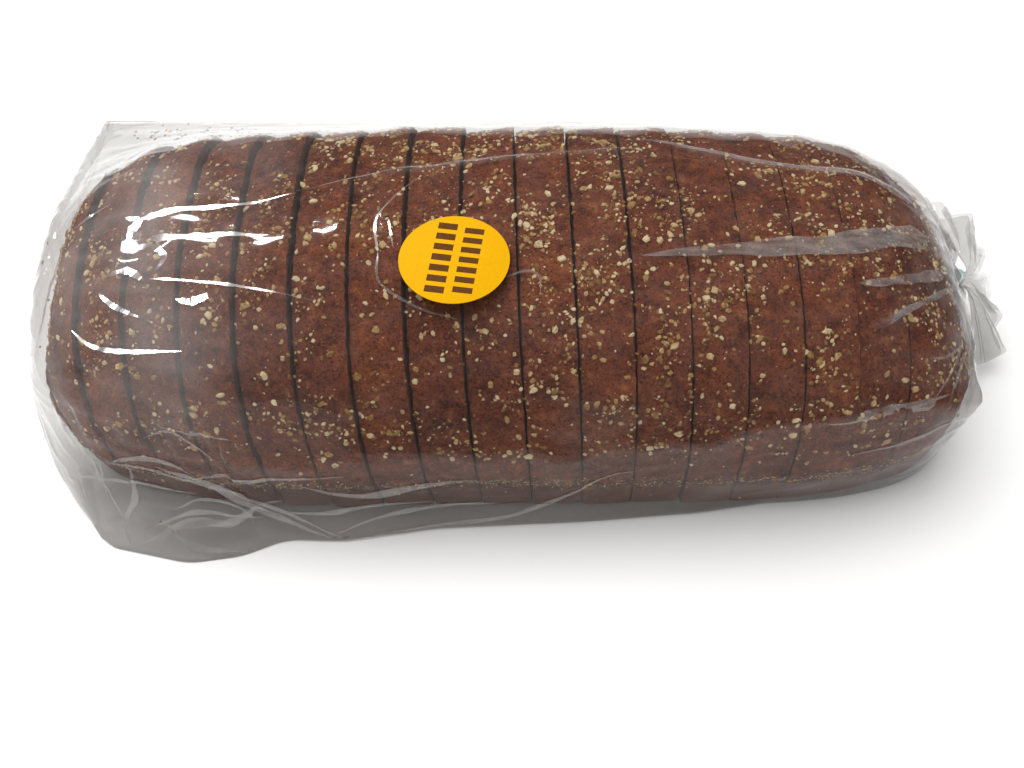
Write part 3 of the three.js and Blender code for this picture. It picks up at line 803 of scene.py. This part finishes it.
body = [film_station(x) for x in np.linspace(FIRST_STATION, LAST_STATION, BODY_RINGS)]
seal = seam_ring(SEAL_LINE, SEAL_FACE, SEAM_THICKNESS)[0]
seal_heading = body[0].copy()
seal_heading[:, 0] -= SEAL_BOW * np.clip(body[0][:, 2] / SEAL_BOW_HEIGHT, 0, 1)
sealed_end = ramp_rings(body[0], seal, seal_heading, SEAL_RINGS)[::-1]

gather_heading = (body[-1] + np.array([3, 0, 0]) * mm) * 0.7 + NECK * 0.3
gathered = ramp_rings(body[-1], neck_ring(-NECK_LENGTH / 2), gather_heading, GATHER_RINGS)
around = np.arange(RING_STEPS + 1) / RING_STEPS * math.tau
pleats = 0.5 * np.cos(9 * around) + 0.35 * np.cos(17 * around + 1.3)
pleats += 0.3 * np.abs(np.cos(12.5 * around + 0.6))
for ring in gathered[:-1]:
    away = np.linalg.norm(ring[:, 1:] - NECK[1:], axis=1)
    clear = smoothstep(ring[:, 2], 0, 20 * mm)
    strength = smoothstep(away, 0, 12 * mm) * np.exp(-away / (45 * mm))
    ring[:, 0] += pleats * clear * strength * PLEAT_HEIGHT

rim, along_rim = seam_ring(TAIL_RIM, TAIL_FACE, RIM_THICKNESS)
ruffle = np.sin(along_rim * math.tau * 6.5) + 0.6 * np.sin(along_rim * math.tau * 11 + 1)
rim = rim + TAIL_FACE * (ruffle * RUFFLE_HEIGHT)[:, None]
neck_end = neck_ring(NECK_LENGTH / 2)
tail = ramp_rings(neck_end, rim, neck_end + NECK_AXIS * NECK_LENGTH, TAIL_RINGS)
film_rings = np.array([*sealed_end, *body, *gathered, neck_end, *tail])


def film_shape(u, v):
    i = np.rint(u * (len(film_rings) - 1)).astype(int)
    j = np.rint(v * RING_STEPS).astype(int)
    return film_rings[i, j]


film = rolled_sheet("film_bag", len(film_rings) - 1, RING_STEPS, film_shape)

# The film is pressed out by the crust, with room for the flakes on it, and bridges the gaps.
PROBE = 7 * mm
FILM_CLEARANCE = 0.9 * mm  # room for the flakes
BRIDGE_REACH = 4  # film points to either side that a point of the crust holds up
BRIDGE_ROUNDS = 26
SOFTEN_ROUNDS = 4
tree_points = []
tree_faces = []
for piece in slices:
    base = len(tree_points)
    tree_points.extend(v.co for v in piece.data.vertices)
    tree_faces.extend([base + i for i in p.vertices] for p in piece.data.polygons)
crust_tree = BVHTree.FromPolygons(tree_points, tree_faces)

film_edges = np.empty(len(film.data.edges) * 2, np.int32)
film.data.edges.foreach_get("vertices", film_edges)
film_edges = film_edges.reshape(-1, 2)
edge_count = np.bincount(film_edges.ravel(), minlength=len(film.data.vertices))


def spread(values, rounds):
    """Averages a value over the film's neighbouring points."""
    for _ in range(rounds):
        total = np.bincount(film_edges[:, 0], values[film_edges[:, 1]], len(values))
        total += np.bincount(film_edges[:, 1], values[film_edges[:, 0]], len(values))
        values = (values + total) / (1 + edge_count)
    return values


def widest(values, rounds):
    """Gives each film point the largest value near it."""
    first, second = film_edges.T
    for _ in range(rounds):
        grown = values.copy()
        np.maximum.at(grown, first, values[second])
        np.maximum.at(grown, second, values[first])
        values = grown
    return values


film_place = points_of(film.data)
film_outward = normals_of(film.data)
pressed = np.zeros(len(film_place))
for i, (p, n) in enumerate(zip(film_place, film_outward)):
    start = Vector(p) + Vector(n) * PROBE
    distance = crust_tree.ray_cast(start, -Vector(n), PROBE + FILM_CLEARANCE)[3]
    if distance is not None:
        pressed[i] = PROBE + FILM_CLEARANCE - distance
bridged = spread(widest(pressed, BRIDGE_REACH), BRIDGE_ROUNDS)
pressed = spread(np.maximum(bridged, pressed), SOFTEN_ROUNDS)
move_points(film.data, film_place + film_outward * pressed[:, None])

# Creases, at their places on the film: ridges that start at the free corners and at the neck, or
# run along the loaf where the film is drawn tight.
CREASES = [
    # points in millimetres, height and half-width
    ([(-48, 9, 97), (-32, 13, 98), (2, 20, 96), (50, 25, 95)], 0.7, 2.2),
    ([(-157, -53, 14), (-132, -65, 31), (-111, -70, 33), (-94, -71, 23), (-70, -71, 11)], 1.4, 3.0),
    ([(-109, -71, 32), (-96, -69, 35), (-79, -69, 35)], 1.2, 3.0),
    ([(-113, -61, 56), (-103, -61, 62), (-95, -63, 56), (-89, -65, 54)], 1.0, 3.0),
    ([(-113, -56, 66), (-100, -59, 67), (-92, -62, 60), (-86, -65, 54)], 1.0, 3.0),
    ([(-147, -45, 57), (-147, -49, 46), (-147, -53, 36)], 1.0, 2.5),
    ([(-53, -71, 8), (-37, -69, 14), (-16, -66, 20), (11, -64, 22)], 1.2, 2.5),
    ([(-45, -71, 0), (-23, -67, 3), (11, -63, 10), (30, -64, 23), (42, -67, 35)], 1.2, 3.0),
    ([(42, -67, 35), (63, -66, 49), (81, -64, 56), (111, -61, 61), (147, -52, 54)], 1.2, 3.5),
    ([(51, 31, 93), (87, 20, 94), (109, 19, 91), (127, 21, 86), (147, 13, 76)], 0.9, 2.5),
    ([(98, -60, 68), (117, -54, 70), (130, -51, 70)], 0.9, 2.0),
    ([(87, -58, 72), (101, -50, 78), (129, -37, 80), (148, -24, 72)], 1.0, 2.0),
    ([(122, -42, 79), (132, -35, 80), (151, -20, 71), (162, -4, 58)], 1.2, 2.0),
]


def crease_rise(points, crease, height, half_width):
    """Height of a sharp ridge along a crease, at each point."""
    line = curve_through(np.array(crease) * mm, np.linspace(0, 1, 24))
    nearest = np.full(len(points), np.inf)
    ease = np.zeros(len(points))
    for k in range(len(line) - 1):
        a, b = line[k], line[k + 1]
        t = np.clip((points - a) @ (b - a) / ((b - a) @ (b - a)), 0, 1)
        distance = np.linalg.norm(points - (a + t[:, None] * (b - a)), axis=1)
        closer = distance < nearest
        nearest = np.where(closer, distance, nearest)
        run = (k + t) / (len(line) - 1)
        ease = np.where(closer, np.minimum(1, 6 * np.minimum(run, 1 - run) + 0.15), ease)
    slope = np.clip(1 - nearest / (half_width * mm), 0, 1)
    return height * mm * ease * slope**1.5


film_place = points_of(film.data)
film_outward = normals_of(film.data)
rise = sum(crease_rise(film_place, *crease) for crease in CREASES)
drawn_out = film_place / np.array([2.6, 1, 1])
slack = 0.25 + 0.9 * smoothstep(-film_place[:, 0], 60 * mm, 140 * mm)
slack += 0.6 * smoothstep(film_place[:, 0], 110 * mm, 160 * mm)
fine_folds = 1 - 2.2 * np.abs(noise_at(drawn_out, 9 * mm, 11))
rise += np.clip(fine_folds, 0, 1) ** 2 * slack * 0.45 * mm
free = smoothstep(film_place[:, 2], 0.5 * mm, 6 * mm)
film_place += film_outward * (rise * free)[:, None]
film_place[:, 2] = np.maximum(film_place[:, 2], 0)
move_points(film.data, film_place)

# Where the film is creased, gathered or sealed, its layers lie close and look milky. Over the
# loaf's sealed end it is milkier, partly haze and partly painted sheen, and it is cloudy again in
# the fin that its free front corner makes there.
to_sealed, to_front, height = -film_place[:, 0], -film_place[:, 1], film_place[:, 2]
seal_curve = curve_through(np.array(SEAL_LINE) * mm, np.linspace(0, 1, 60))
from_seal = np.min([np.linalg.norm(film_place - p, axis=1) for p in seal_curve], axis=0)
from_neck = np.linalg.norm(film_place - NECK, axis=1)
at_neck = np.arctan2(height - NECK[2], film_place[:, 1] - NECK[1])
rays = noise_at(np.column_stack([np.cos(at_neck), np.sin(at_neck), from_neck * 6]), 0.09, 12)
milk_and_sheen = 0.35 * np.clip(rise / (1.2 * mm), 0, 1)
# Painted sheen: a milky veil over the loaf's sealed end, on top of the film's haze.
cloudy_and_sheen = smoothstep(to_sealed, 50 * mm, 115 * mm) * smoothstep(height, 30 * mm, 80 * mm)
milk_and_sheen += cloudy_and_sheen * np.clip(0.28 + 0.28 * noise_at(film_place, 22 * mm, 13), 0.03, 1)
fin = smoothstep(to_front, 60 * mm, 70 * mm) * (1 - smoothstep(height, 25 * mm, 45 * mm))
milk_and_sheen += fin * smoothstep(to_sealed, 100 * mm, 145 * mm) * 0.25
milk_and_sheen += 0.9 * (1 - smoothstep(from_seal, 1 * mm, 3.5 * mm))
gathers = smoothstep(-to_sealed, 140 * mm, 163 * mm) * (0.35 + 0.9 * np.clip(rays, 0, 1))
milk_and_sheen += gathers * (1 - smoothstep(from_neck, 30 * mm, 75 * mm))
keep_on_points(film.data, "milk_and_sheen", np.clip(milk_and_sheen, 0, 1))
select_only(film)
bpy.ops.object.shade_smooth()


def film_surface(made, through, milk, haze, mirrored, gloss):
    """Gives a material a clear surface, milky by the share haze, mirroring by the share mirrored."""
    clear = node(made, "BsdfTransparent", {"Color": through})
    white = node(made, "BsdfDiffuse", {"Color": milk})
    hazy = node(made, "MixShader", {0: haze, 1: clear, 2: white})
    mirror = node(made, "BsdfGlossy", {"Color": "#ffffff", **gloss})
    surface = node(made, "MixShader", {0: mirrored, 1: hazy, 2: mirror})
    node(made, "OutputMaterial", {"Surface": surface})


# Polythene film: clear and glossy. It mirrors 2.2 % of what it sees when seen straight and more
# at a slant, alike from inside and outside; it swallows a little light and is faintly milky.
FILM_MIRROR = 0.022
MIRROR_POWER = 5.8  # how late the mirroring sets in towards the slant
HAZE_SINGLE = 0.012
HAZE_DOUBLED = 0.30
polythene = new_material("clear_polythene")
crinkle = texture(polythene, "TexNoise", 120, (0.5, 1, 1), Detail=2, Roughness=0.5)
film_relief = {"Strength": 0.11, "Distance": 0.5 * mm, "Height": crinkle}
film_bump = node(polythene, "Bump", film_relief)
# The haze share carries the film's milkiness and the painted sheen over the sealed end.
milk_and_sheen_share = node(polythene, "Attribute", attribute_name="milk_and_sheen").outputs["Fac"]
haze_and_sheen = node(polythene, "MapRange", {0: milk_and_sheen_share, 3: HAZE_SINGLE, 4: HAZE_DOUBLED})
slant = node(polythene, "LayerWeight", {"Blend": 0.5, "Normal": film_bump})
turned_away = {0: slant.outputs["Facing"], 1: MIRROR_POWER}
steep = node(polythene, "Math", turned_away, operation="POWER")
shine = node(polythene, "MapRange", {0: steep, 3: FILM_MIRROR, 4: 1.0})
film_gloss = {"Roughness": 0.07, "Normal": film_bump}
film_surface(polythene, "#dedddc", "#f0eeec", haze_and_sheen, shine, film_gloss)
film.data.materials.append(polythene)
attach(film, "root")
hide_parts("bread_bag")


# Folds: where the bag is wider than the loaf the film lies double in long flat pleats, seen as
# milky bands, and here and there a sharp crease turns white. Each lies close on the film.
FOLDS = [
    # points in millimetres, and half-width at its start, middle and end
    ([(46, -24, 95), (81, -20.5, 94), (99, -18, 93), (113, -15.5, 91), (148, -1, 76)], 0.8, 3.8, 4.6),
    ([(116, -29, 86), (129, -26, 84), (149, -16, 73)], 1.2, 1.6, 2.0),
    ([(122, -42, 79), (132, -35, 80), (151, -20, 71), (162, -4, 58)], 0.15, 1.0, 2.2),
    ([(51, 31, 93), (87, 20, 94), (109, 19, 91), (127, 21, 86), (147, 13, 76)], 0.6, 1.0, 2.0),
    ([(128, 34, 82), (138, 31, 78), (148, 24, 70), (156, 16, 62)], 2.5, 5.0, 2.5),
    ([(105, -62, 62), (125, -58, 60), (147, -50, 55)], 0.3, 0.9, 0.5),
    ([(-58, -71, 5), (-42, -70, 14), (-17, -66, 19), (0, -65, 20)], 0.3, 1.5, 0.3),
    ([(-56, -74, 1), (-23, -68, 4), (6, -64, 10), (33, -67, 33), (48, -67, 40)], 0.4, 1.5, 0.3),
    ([(-137, -62, 32), (-115, -69, 34), (-82, -71, 20), (-54, -72, 1)], 0.3, 0.9, 0.6),
    ([(-156, -53, 15), (-131, -66, 26), (-105, -72, 26)], 0.3, 0.7, 0.2),
    ([(-109, -71, 31), (-92, -69, 36), (-79, -69, 36)], 0.2, 0.9, 0.2),
    ([(-126, -75, 10), (-106, -75, 18), (-83, -74, 13)], 0.2, 0.8, 0.3),
    ([(-109, -60, 60), (-99, -60, 58), (-86, -64, 56)], 0.2, 0.7, 0.2),
    ([(-117, -61, 51), (-106, -63, 58), (-98, -64, 50), (-94, -67, 44)], 0.2, 0.7, 0.2),
    ([(142, -53, 58), (148, -46, 62), (153, -37, 64)], 0.2, 0.5, 0.9),
    ([(148, -52, 53), (151, -45, 59), (154, -39, 62)], 0.2, 0.6, 0.9),
    ([(138, -46, 69), (146, -43, 66), (152, -37, 63)], 0.2, 0.6, 0.5),
    ([(119, -64, 41), (136, -60, 42), (154, -52, 44)], 0.2, 0.9, 1.4),
    ([(141, 27, 78), (152, 23, 69), (158, 14, 66), (163, 6, 60)], 0.5, 1.6, 0.9),
    ([(-120, -74, 14), (-108, -78, 5), (-92, -79, 2)], 0.3, 1.6, 0.3),
    ([(-147, -45, 57), (-146, -52, 44), (-143, -60, 28), (-134, -70, 10)], 0.3, 0.8, 0.3),
    ([(-139, -59, 39), (-140, -62, 25), (-140, -67, 13)], 0.2, 0.5, 0.2),
    ([(-128, -65, 36), (-128, -68, 22), (-134, -72, 10), (-132, -76, 3)], 0.3, 1.3, 0.3),
    ([(-117, -68, 37), (-101, -71, 31), (-86, -72, 19), (-71, -72, 8), (-57, -72, 1)], 0.5, 2.2, 0.4),
    ([(-100, -71, 27), (-84, -69, 35), (-66, -68, 40), (-51, -67, 42)], 0.3, 1.0, 0.2),
    ([(-128, -77, 4), (-111, -76, 14), (-94, -75, 13), (-82, -72, 20), (-74, -69, 23)], 0.3, 2.0, 0.4),
    ([(-116, -74, 18), (-103, -72, 23), (-91, -72, 19), (-86, -75, 11)], 0.2, 0.7, 0.2),
    ([(-136, -63, 34), (-121, -65, 40), (-110, -68, 39), (-104, -70, 34)], 0.2, 1.5, 0.3),
    ([(-84, -73, 14), (-63, -70, 17), (-45, -69, 22), (-24, -67, 22)], 0.3, 1.4, 0.2),
    ([(-151, -52, 35), (-150, -56, 25), (-148, -62, 11)], 0.3, 1.4, 0.3),
    ([(-67, -68, 35), (-47, -68, 29), (-27, -67, 33), (-6, -67, 38)], 0.3, 2.4, 0.3),
    ([(-65, 4, 95), (-48, 9, 97), (-32, 13, 98), (2, 20, 96), (50, 25, 95)], 0.15, 0.4, 0.15),
]

# Sharp creases: beside each the film stands up as a narrow flat facet, which flashes in the
# light. The last four lie beside the label, where it holds the film up.
FACETS = [
    # points in millimetres, half-width at its start, middle and end, and lean along and across
    ([(-116, -4, 93), (-101, -2, 94), (-82, -1, 96), (-65, 3, 96)], 1.2, 0.7, 0.15, -0.12, -0.10),
    ([(-112, -13, 94), (-100, -14, 95), (-84, -14, 96), (-72, -15, 97)], 1.3, 1.1, 0.2, -0.11, -0.08),
    ([(-118, -13, 92), (-118, -9, 93), (-115, -4, 93)], 0.5, 1.5, 1.0, -0.06, -0.08),
    ([(-116, -16, 92), (-110, -16, 94), (-105, -21, 95), (-107, -26, 93)], 0.8, 1.2, 0.6, -0.07, -0.07),
    ([(-124, -25, 89), (-117, -24, 91), (-111, -28, 91)], 0.3, 1.5, 0.6, -0.06, -0.05),
    ([(-109, -28, 92), (-92, -30, 92), (-75, -33, 92), (-57, -37, 91)], 0.4, 0.55, 0.1, -0.12, -0.06),
    ([(-100, -35, 90), (-95, -36, 90), (-89, -34, 90)], 0.5, 1.7, 1.3, -0.09, -0.04),
    ([(-126, -30, 88), (-120, -35, 87), (-111, -39, 86)], 0.4, 1.0, 0.4, -0.05, -0.03),
    ([(-135, -38, 79), (-128, -44, 79), (-118, -47, 80), (-98, -49, 82)], 0.4, 1.0, 0.3, -0.05, -0.01),
    ([(-141, -2, 86), (-134, 3, 88), (-128, 6, 91)], 0.1, 0.5, 0.2, -0.03, -0.08),
    ([(-25, 10, 97), (-33, -1, 98), (-38, -10, 97), (-37, -22, 97)], 0.15, 0.35, 0.4, -0.23, -0.10),
    ([(-37, -22, 97), (-36, -33, 95), (-23, -42, 94), (-12, -45, 92)], 0.4, 0.45, 0.35, -0.23, -0.10),
    ([(-34, -10, 98), (-32, -21, 97)], 0.2, 0.4, 0.1, -0.23, -0.10),
    ([(2, -32, 96), (10, -29, 95), (14, -31, 94), (14, -37, 93)], 0.3, 0.6, 0.2, -0.33, -0.08),
]
FOLD_STEPS = 60
FOLD_ACROSS = 6
FOLD_TIP = 0.05  # half-width of either tip
FOLD_BLUR = 15  # steps over which the film's slope is averaged along a fold
FOLD_CLEARANCE = 0.25 * mm
FOLD_THICKNESS = 0.12 * mm
FOLD_SMOOTH = math.radians(40)

film_tree = BVHTree.FromPolygons(
    [v.co for v in film.data.vertices], [tuple(p.vertices) for p in film.data.polygons]
)


def fold_line(points, half_widths):
    """Places, headings, half-widths and film normals along the middle of a fold."""
    shares = np.linspace(0, 1, FOLD_STEPS)
    line = curve_through(np.array(points) * mm, shares)
    width = np.interp(shares, [0, 0.06, 0.5, 0.94, 1], [FOLD_TIP, *half_widths, FOLD_TIP])
    width *= mm * (1 + 0.12 * np.sin(shares * 23 + len(points)))
    lies = np.array([film_tree.find_nearest(Vector(place))[1] for place in line])
    padded = np.pad(lies, ((FOLD_BLUR // 2, FOLD_BLUR // 2), (0, 0)), "edge")
    even = np.ones(FOLD_BLUR) / FOLD_BLUR
    lies = np.array([np.convolve(axis, even, "valid") for axis in padded.T]).T
    return zip(line, np.gradient(line, axis=0), width, lies)


def strip_faces():
    """Faces of a closed strip, whose upper corners come first, row by row, and then its lower."""
    row = FOLD_ACROSS + 1
    count = FOLD_STEPS * row
    faces = []
    for i in range(FOLD_STEPS - 1):
        for k in range(FOLD_ACROSS):
            a = i * row + k
            faces.append((a, a + row, a + row + 1, a + 1))
            faces.append((count + a, count + a + 1, count + a + row + 1, count + a + row))
        for k in (0, FOLD_ACROSS):
            a = i * row + k
            faces.append((a, count + a, count + a + row, a + row))
    for i in (0, FOLD_STEPS - 1):
        for k in range(FOLD_ACROSS):
            a = i * row + k
            faces.append((a, a + 1, count + a + 1, count + a))
    return faces


def row_across(place, sideways, half):
    steps = [2 * k / FOLD_ACROSS - 1 for k in range(FOLD_ACROSS + 1)]
    return [Vector(place) + sideways * half * step for step in steps]


def fold_strip(points, *half_widths):
    """Corners of a strip that lies on the film."""
    upper, lower = [], []
    for place, heading, half, normal in fold_line(points, half_widths):
        sideways = Vector(normal).cross(Vector(heading)).normalized()
        for at in row_across(place, sideways, half):
            on_film, lie = film_tree.find_nearest(at)[:2]
            lie = (lie + 3 * Vector(normal)).normalized()
            upper.append(on_film + lie * (FOLD_CLEARANCE + FOLD_THICKNESS))
            lower.append(on_film + lie * FOLD_CLEARANCE)
    return upper + lower


def facet_strip(points, start, middle, end, lean_along, lean_across):
    """Corners of a flat strip that stands on the film, nearly level."""
    upper, lower = [], []
    level = Vector((lean_along, lean_across, 1)).normalized()
    for place, heading, half, normal in fold_line(points, (start, middle, end)):
        half *= 1 + 0.45 * noise.noise(Vector(place) / (3 * mm))
        sideways = level.cross(Vector(heading)).normalized()
        facing = Vector(heading).cross(sideways).normalized()
        corners = row_across(place, sideways, half)
        normal = Vector(normal)
        lift = max((film_tree.find_nearest(at)[0] - at).dot(normal) for at in corners)
        row = [at + normal * (lift + FOLD_CLEARANCE) for at in corners]
        lower += row
        upper += [at + facing * FOLD_THICKNESS for at in row]
    return upper + lower


def joined_strips(name, strips):
    corners, faces = [], []
    for strip in strips:
        faces.extend(tuple(len(corners) + i for i in face) for face in strip_faces())
        corners.extend(strip)
    for corner in corners:
        corner.z = max(corner.z, 0)
    made = mesh_object(name, corners, faces)
    select_only(made)
    edit_whole(bpy.ops.mesh.normals_make_consistent, inside=False)
    bpy.ops.object.shade_smooth_by_angle(angle=FOLD_SMOOTH)
    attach(made, "root")
    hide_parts("bread_bag")
    return made


folds = joined_strips("film_folds", [fold_strip(*fold) for fold in FOLDS])
facets = joined_strips("film_creases", [facet_strip(*facet) for facet in FACETS])

# Creased polythene: the same film, stress-whitened a little along the crease and very glossy.
creased = new_material("creased_polythene")
ripple = texture(creased, "TexNoise", 300, Detail=1)
crease_relief = {"Strength": 0.1, "Distance": 0.3 * mm, "Height": ripple}
crease_gloss = {"Roughness": 0.19, "Normal": node(creased, "Bump", crease_relief)}
film_surface(creased, "#ffffff", "#e8e6e4", 0.04, 0.07, crease_gloss)
facets.data.materials.append(creased)

# Doubled polythene: the same film, two or three layers deep, so greyer, milkier and duller.
doubled = new_material("doubled_polythene")
streaks = texture(doubled, "TexNoise", 420, (0.15, 1, 1), Detail=2)
streak_milk = node(doubled, "MapRange", {0: streaks, 1: 0.3, 2: 0.7, 3: 0.025, 4: 0.105})
film_surface(doubled, "#f8f7f6", "#e8e6e4", streak_milk, 0.04, {"Roughness": 0.18})
folds.data.materials.append(doubled)


# Loose crumbs: bits of oat and crust that fell off in the bag and cling to the inside of the film,
# most of them at the back and in the sealed end.
CRUMB_GROUPS = [
    # place in millimetres, spread and count
    ((-131, 67, 69), 8, 22),
    ((-116, 63, 72), 7, 22),
    ((-100, 56, 76), 8, 20),
    ((-60, 55, 80), 14, 10),
    ((24, 42, 89), 10, 9),
    ((100, 32, 89), 12, 9),
    ((138, 28, 79), 9, 9),
    ((-158, 5, 45), 12, 8),
    ((-120, -66, 20), 14, 7),
    ((150, -30, 40), 12, 8),
]
CRUMB_SIZES = (0.6 * mm, 1.8 * mm)
CRUMB_DEPTH = 0.9 * mm
CRUMB_LOWEST = 1.2 * mm
CRUMB_FORMS = 5

random.seed(9)
crumb_forms = [chip_form(5) for _ in range(CRUMB_FORMS)]
crumb_spots = []
for middle, reach, count in CRUMB_GROUPS:
    for _ in range(count):
        guess = (Vector(middle) + Vector([random.gauss(0, reach) for _ in range(3)])) * mm
        on_film, lie = film_tree.find_nearest(guess)[:2]
        size = random.uniform(*CRUMB_SIZES)
        turn = lie.to_track_quat("Z", "Y").to_matrix().to_4x4()
        spin = Matrix.Rotation(random.uniform(0, math.tau), 4, "Z")
        centre = on_film - lie * CRUMB_DEPTH
        centre.z = max(centre.z, CRUMB_LOWEST)
        matrix = Matrix.Translation(centre) @ turn @ spin @ Matrix.Scale(size, 4)
        crumb_spots.append((random.randrange(CRUMB_FORMS), matrix, random.uniform(0, 0.6)))
loose_crumbs = strewn("loose_crumbs", crumb_forms, crumb_spots)
loose_crumbs.data.materials.append(oats)
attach(loose_crumbs, "root")
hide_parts("bread_bag")


# The label: a round sticker of coated paper, 35 mm across, pressed onto the film. Its print is two
# plain brown columns of bars.
LABEL_CENTRE = Vector((-12.8, -26, 97.8)) * mm
LABEL_RADIUS = 17.5 * mm
LABEL_THICKNESS = 0.3 * mm
LABEL_TILT = math.radians(2.5)
BAR_COLUMNS = [(-4.1 * mm, 28 * mm), (4.6 * mm, 26 * mm)]  # place across and length
BAR_COUNT = 7
BAR_WIDTH = 6.2 * mm
BAR_GAP = 1.7 * mm
PRINT_TURN = math.radians(-9)
PRINT_THICKNESS = 0.03 * mm
LABEL_EDGE = 0.08 * mm
EDGE_SMOOTH = math.radians(40)

bpy.ops.object.select_all(action="DESELECT")
bpy.ops.mesh.primitive_cylinder_add(vertices=96, radius=LABEL_RADIUS, depth=LABEL_THICKNESS)
label = bpy.context.object
label.name = "round_sticker"
edit_whole(bpy.ops.mesh.bevel, offset=LABEL_EDGE, segments=2)
label_seat = Matrix.Translation(LABEL_CENTRE) @ Matrix.Rotation(LABEL_TILT, 4, "X")
label.data.transform(label_seat)
bpy.ops.object.shade_smooth_by_angle(angle=EDGE_SMOOTH)

# Coated paper: smooth, printed a full yellow-orange, nearly without gloss under the film's glare.
paper = new_material("coated_yellow_paper")
fibre = texture(paper, "TexNoise", 1200, Detail=3)
paper_tone = node(paper, "ValToRGB", {0: fibre}, [(0.3, "#d09800"), (0.7, "#d59e00")])
matt_surface(paper, paper_tone, 0.7, 0.08, fibre, 0.15, 0.05 * mm)
label.data.materials.append(paper)
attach(label, "root")
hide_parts("round_label")


def box(place, size):
    """A box that has its place and size in its mesh."""
    bpy.ops.mesh.primitive_cube_add(size=1, location=place, scale=size)
    made = bpy.context.object
    made.data.transform(made.matrix_world)
    made.matrix_world = Matrix.Identity(4)
    return made


bars = []
for across, length in BAR_COLUMNS:
    bar_length = (length - (BAR_COUNT - 1) * BAR_GAP) / BAR_COUNT
    for i in range(BAR_COUNT):
        along = (i - (BAR_COUNT - 1) / 2) * (bar_length + BAR_GAP)
        centre = (across, along, LABEL_THICKNESS / 2 + PRINT_THICKNESS / 2)
        bars.append(box(centre, (BAR_WIDTH, bar_length, PRINT_THICKNESS)))
for bar in bars:
    bar.select_set(True)
bpy.context.view_layer.objects.active = bars[0]
bpy.ops.object.join()
label_print = bars[0]
label_print.name = "sticker_print"
label_print.data.transform(label_seat @ Matrix.Rotation(PRINT_TURN, 4, "Z"))

# Brown ink: a thin matt print on the coated paper.
ink = new_material("brown_ink")
blotches = texture(ink, "TexNoise", 900, Detail=2)
ink_tone = node(ink, "ValToRGB", {0: blotches}, [(0.3, "#53300f"), (0.7, "#5c3812")])
ink_inputs = {"Base Color": ink_tone, "Roughness": 0.6, "Specular IOR Level": 0.08}
ink_surface = node(ink, "BsdfPrincipled", ink_inputs)
node(ink, "OutputMaterial", {"Surface": ink_surface})
label_print.data.materials.append(ink)
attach(label_print, "root")
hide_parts("round_label")


# The neck tape: a strip of pale blue-green sealing tape, wound once round the gathered film, with
# its two ends stuck together as a small flag.
TAPE_WIDTH = 4.5 * mm
TAPE_THICKNESS = 0.5 * mm
TAPE_INNER = NECK_RADIUS + 0.45 * mm
TAB_LENGTH = 7 * mm
TAB_SINK = 0.2 * mm
TAB_TURN = math.radians(200)

bpy.ops.object.select_all(action="DESELECT")
bpy.ops.mesh.primitive_cylinder_add(
    vertices=48, radius=TAPE_INNER + TAPE_THICKNESS, depth=TAPE_WIDTH, end_fill_type="NOTHING"
)
tape = bpy.context.object
tape.name = "neck_tape_strip"
edit_whole(bpy.ops.mesh.subdivide, number_cuts=3)
solidify = tape.modifiers.new("thickness", "SOLIDIFY")
solidify.thickness = TAPE_THICKNESS
solidify.offset = -1
bpy.ops.object.modifier_apply(modifier="thickness")
tab_place = (TAPE_INNER + TAPE_THICKNESS + TAB_LENGTH / 2 - TAB_SINK, 0, 0)
box(tab_place, (TAB_LENGTH, TAPE_THICKNESS, TAPE_WIDTH))
tape.select_set(True)
bpy.context.view_layer.objects.active = tape
bpy.ops.object.join()
turn_to_neck = Vector(NECK_AXIS).to_track_quat("Z", "X").to_matrix().to_4x4()
turned_tab = turn_to_neck @ Matrix.Rotation(TAB_TURN, 4, "Z")
tape.data.transform(Matrix.Translation(Vector(NECK)) @ turned_tab)
bpy.ops.object.shade_smooth_by_angle(angle=EDGE_SMOOTH)

# Sealing tape: glossy film with a pale blue-green tint, half clear.
sealing_tape = new_material("pale_sealing_tape")
tape_clear = node(sealing_tape, "BsdfTransparent", {"Color": "#dff0ec"})
tape_body = node(sealing_tape, "BsdfPrincipled", {"Base Color": "#b9cfcb", "Roughness": 0.2})
tape_surface = node(sealing_tape, "MixShader", {0: 0.55, 1: tape_clear, 2: tape_body})
node(sealing_tape, "OutputMaterial", {"Surface": tape_surface})
tape.data.materials.append(sealing_tape)
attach(tape, "root")
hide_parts("neck_tape")
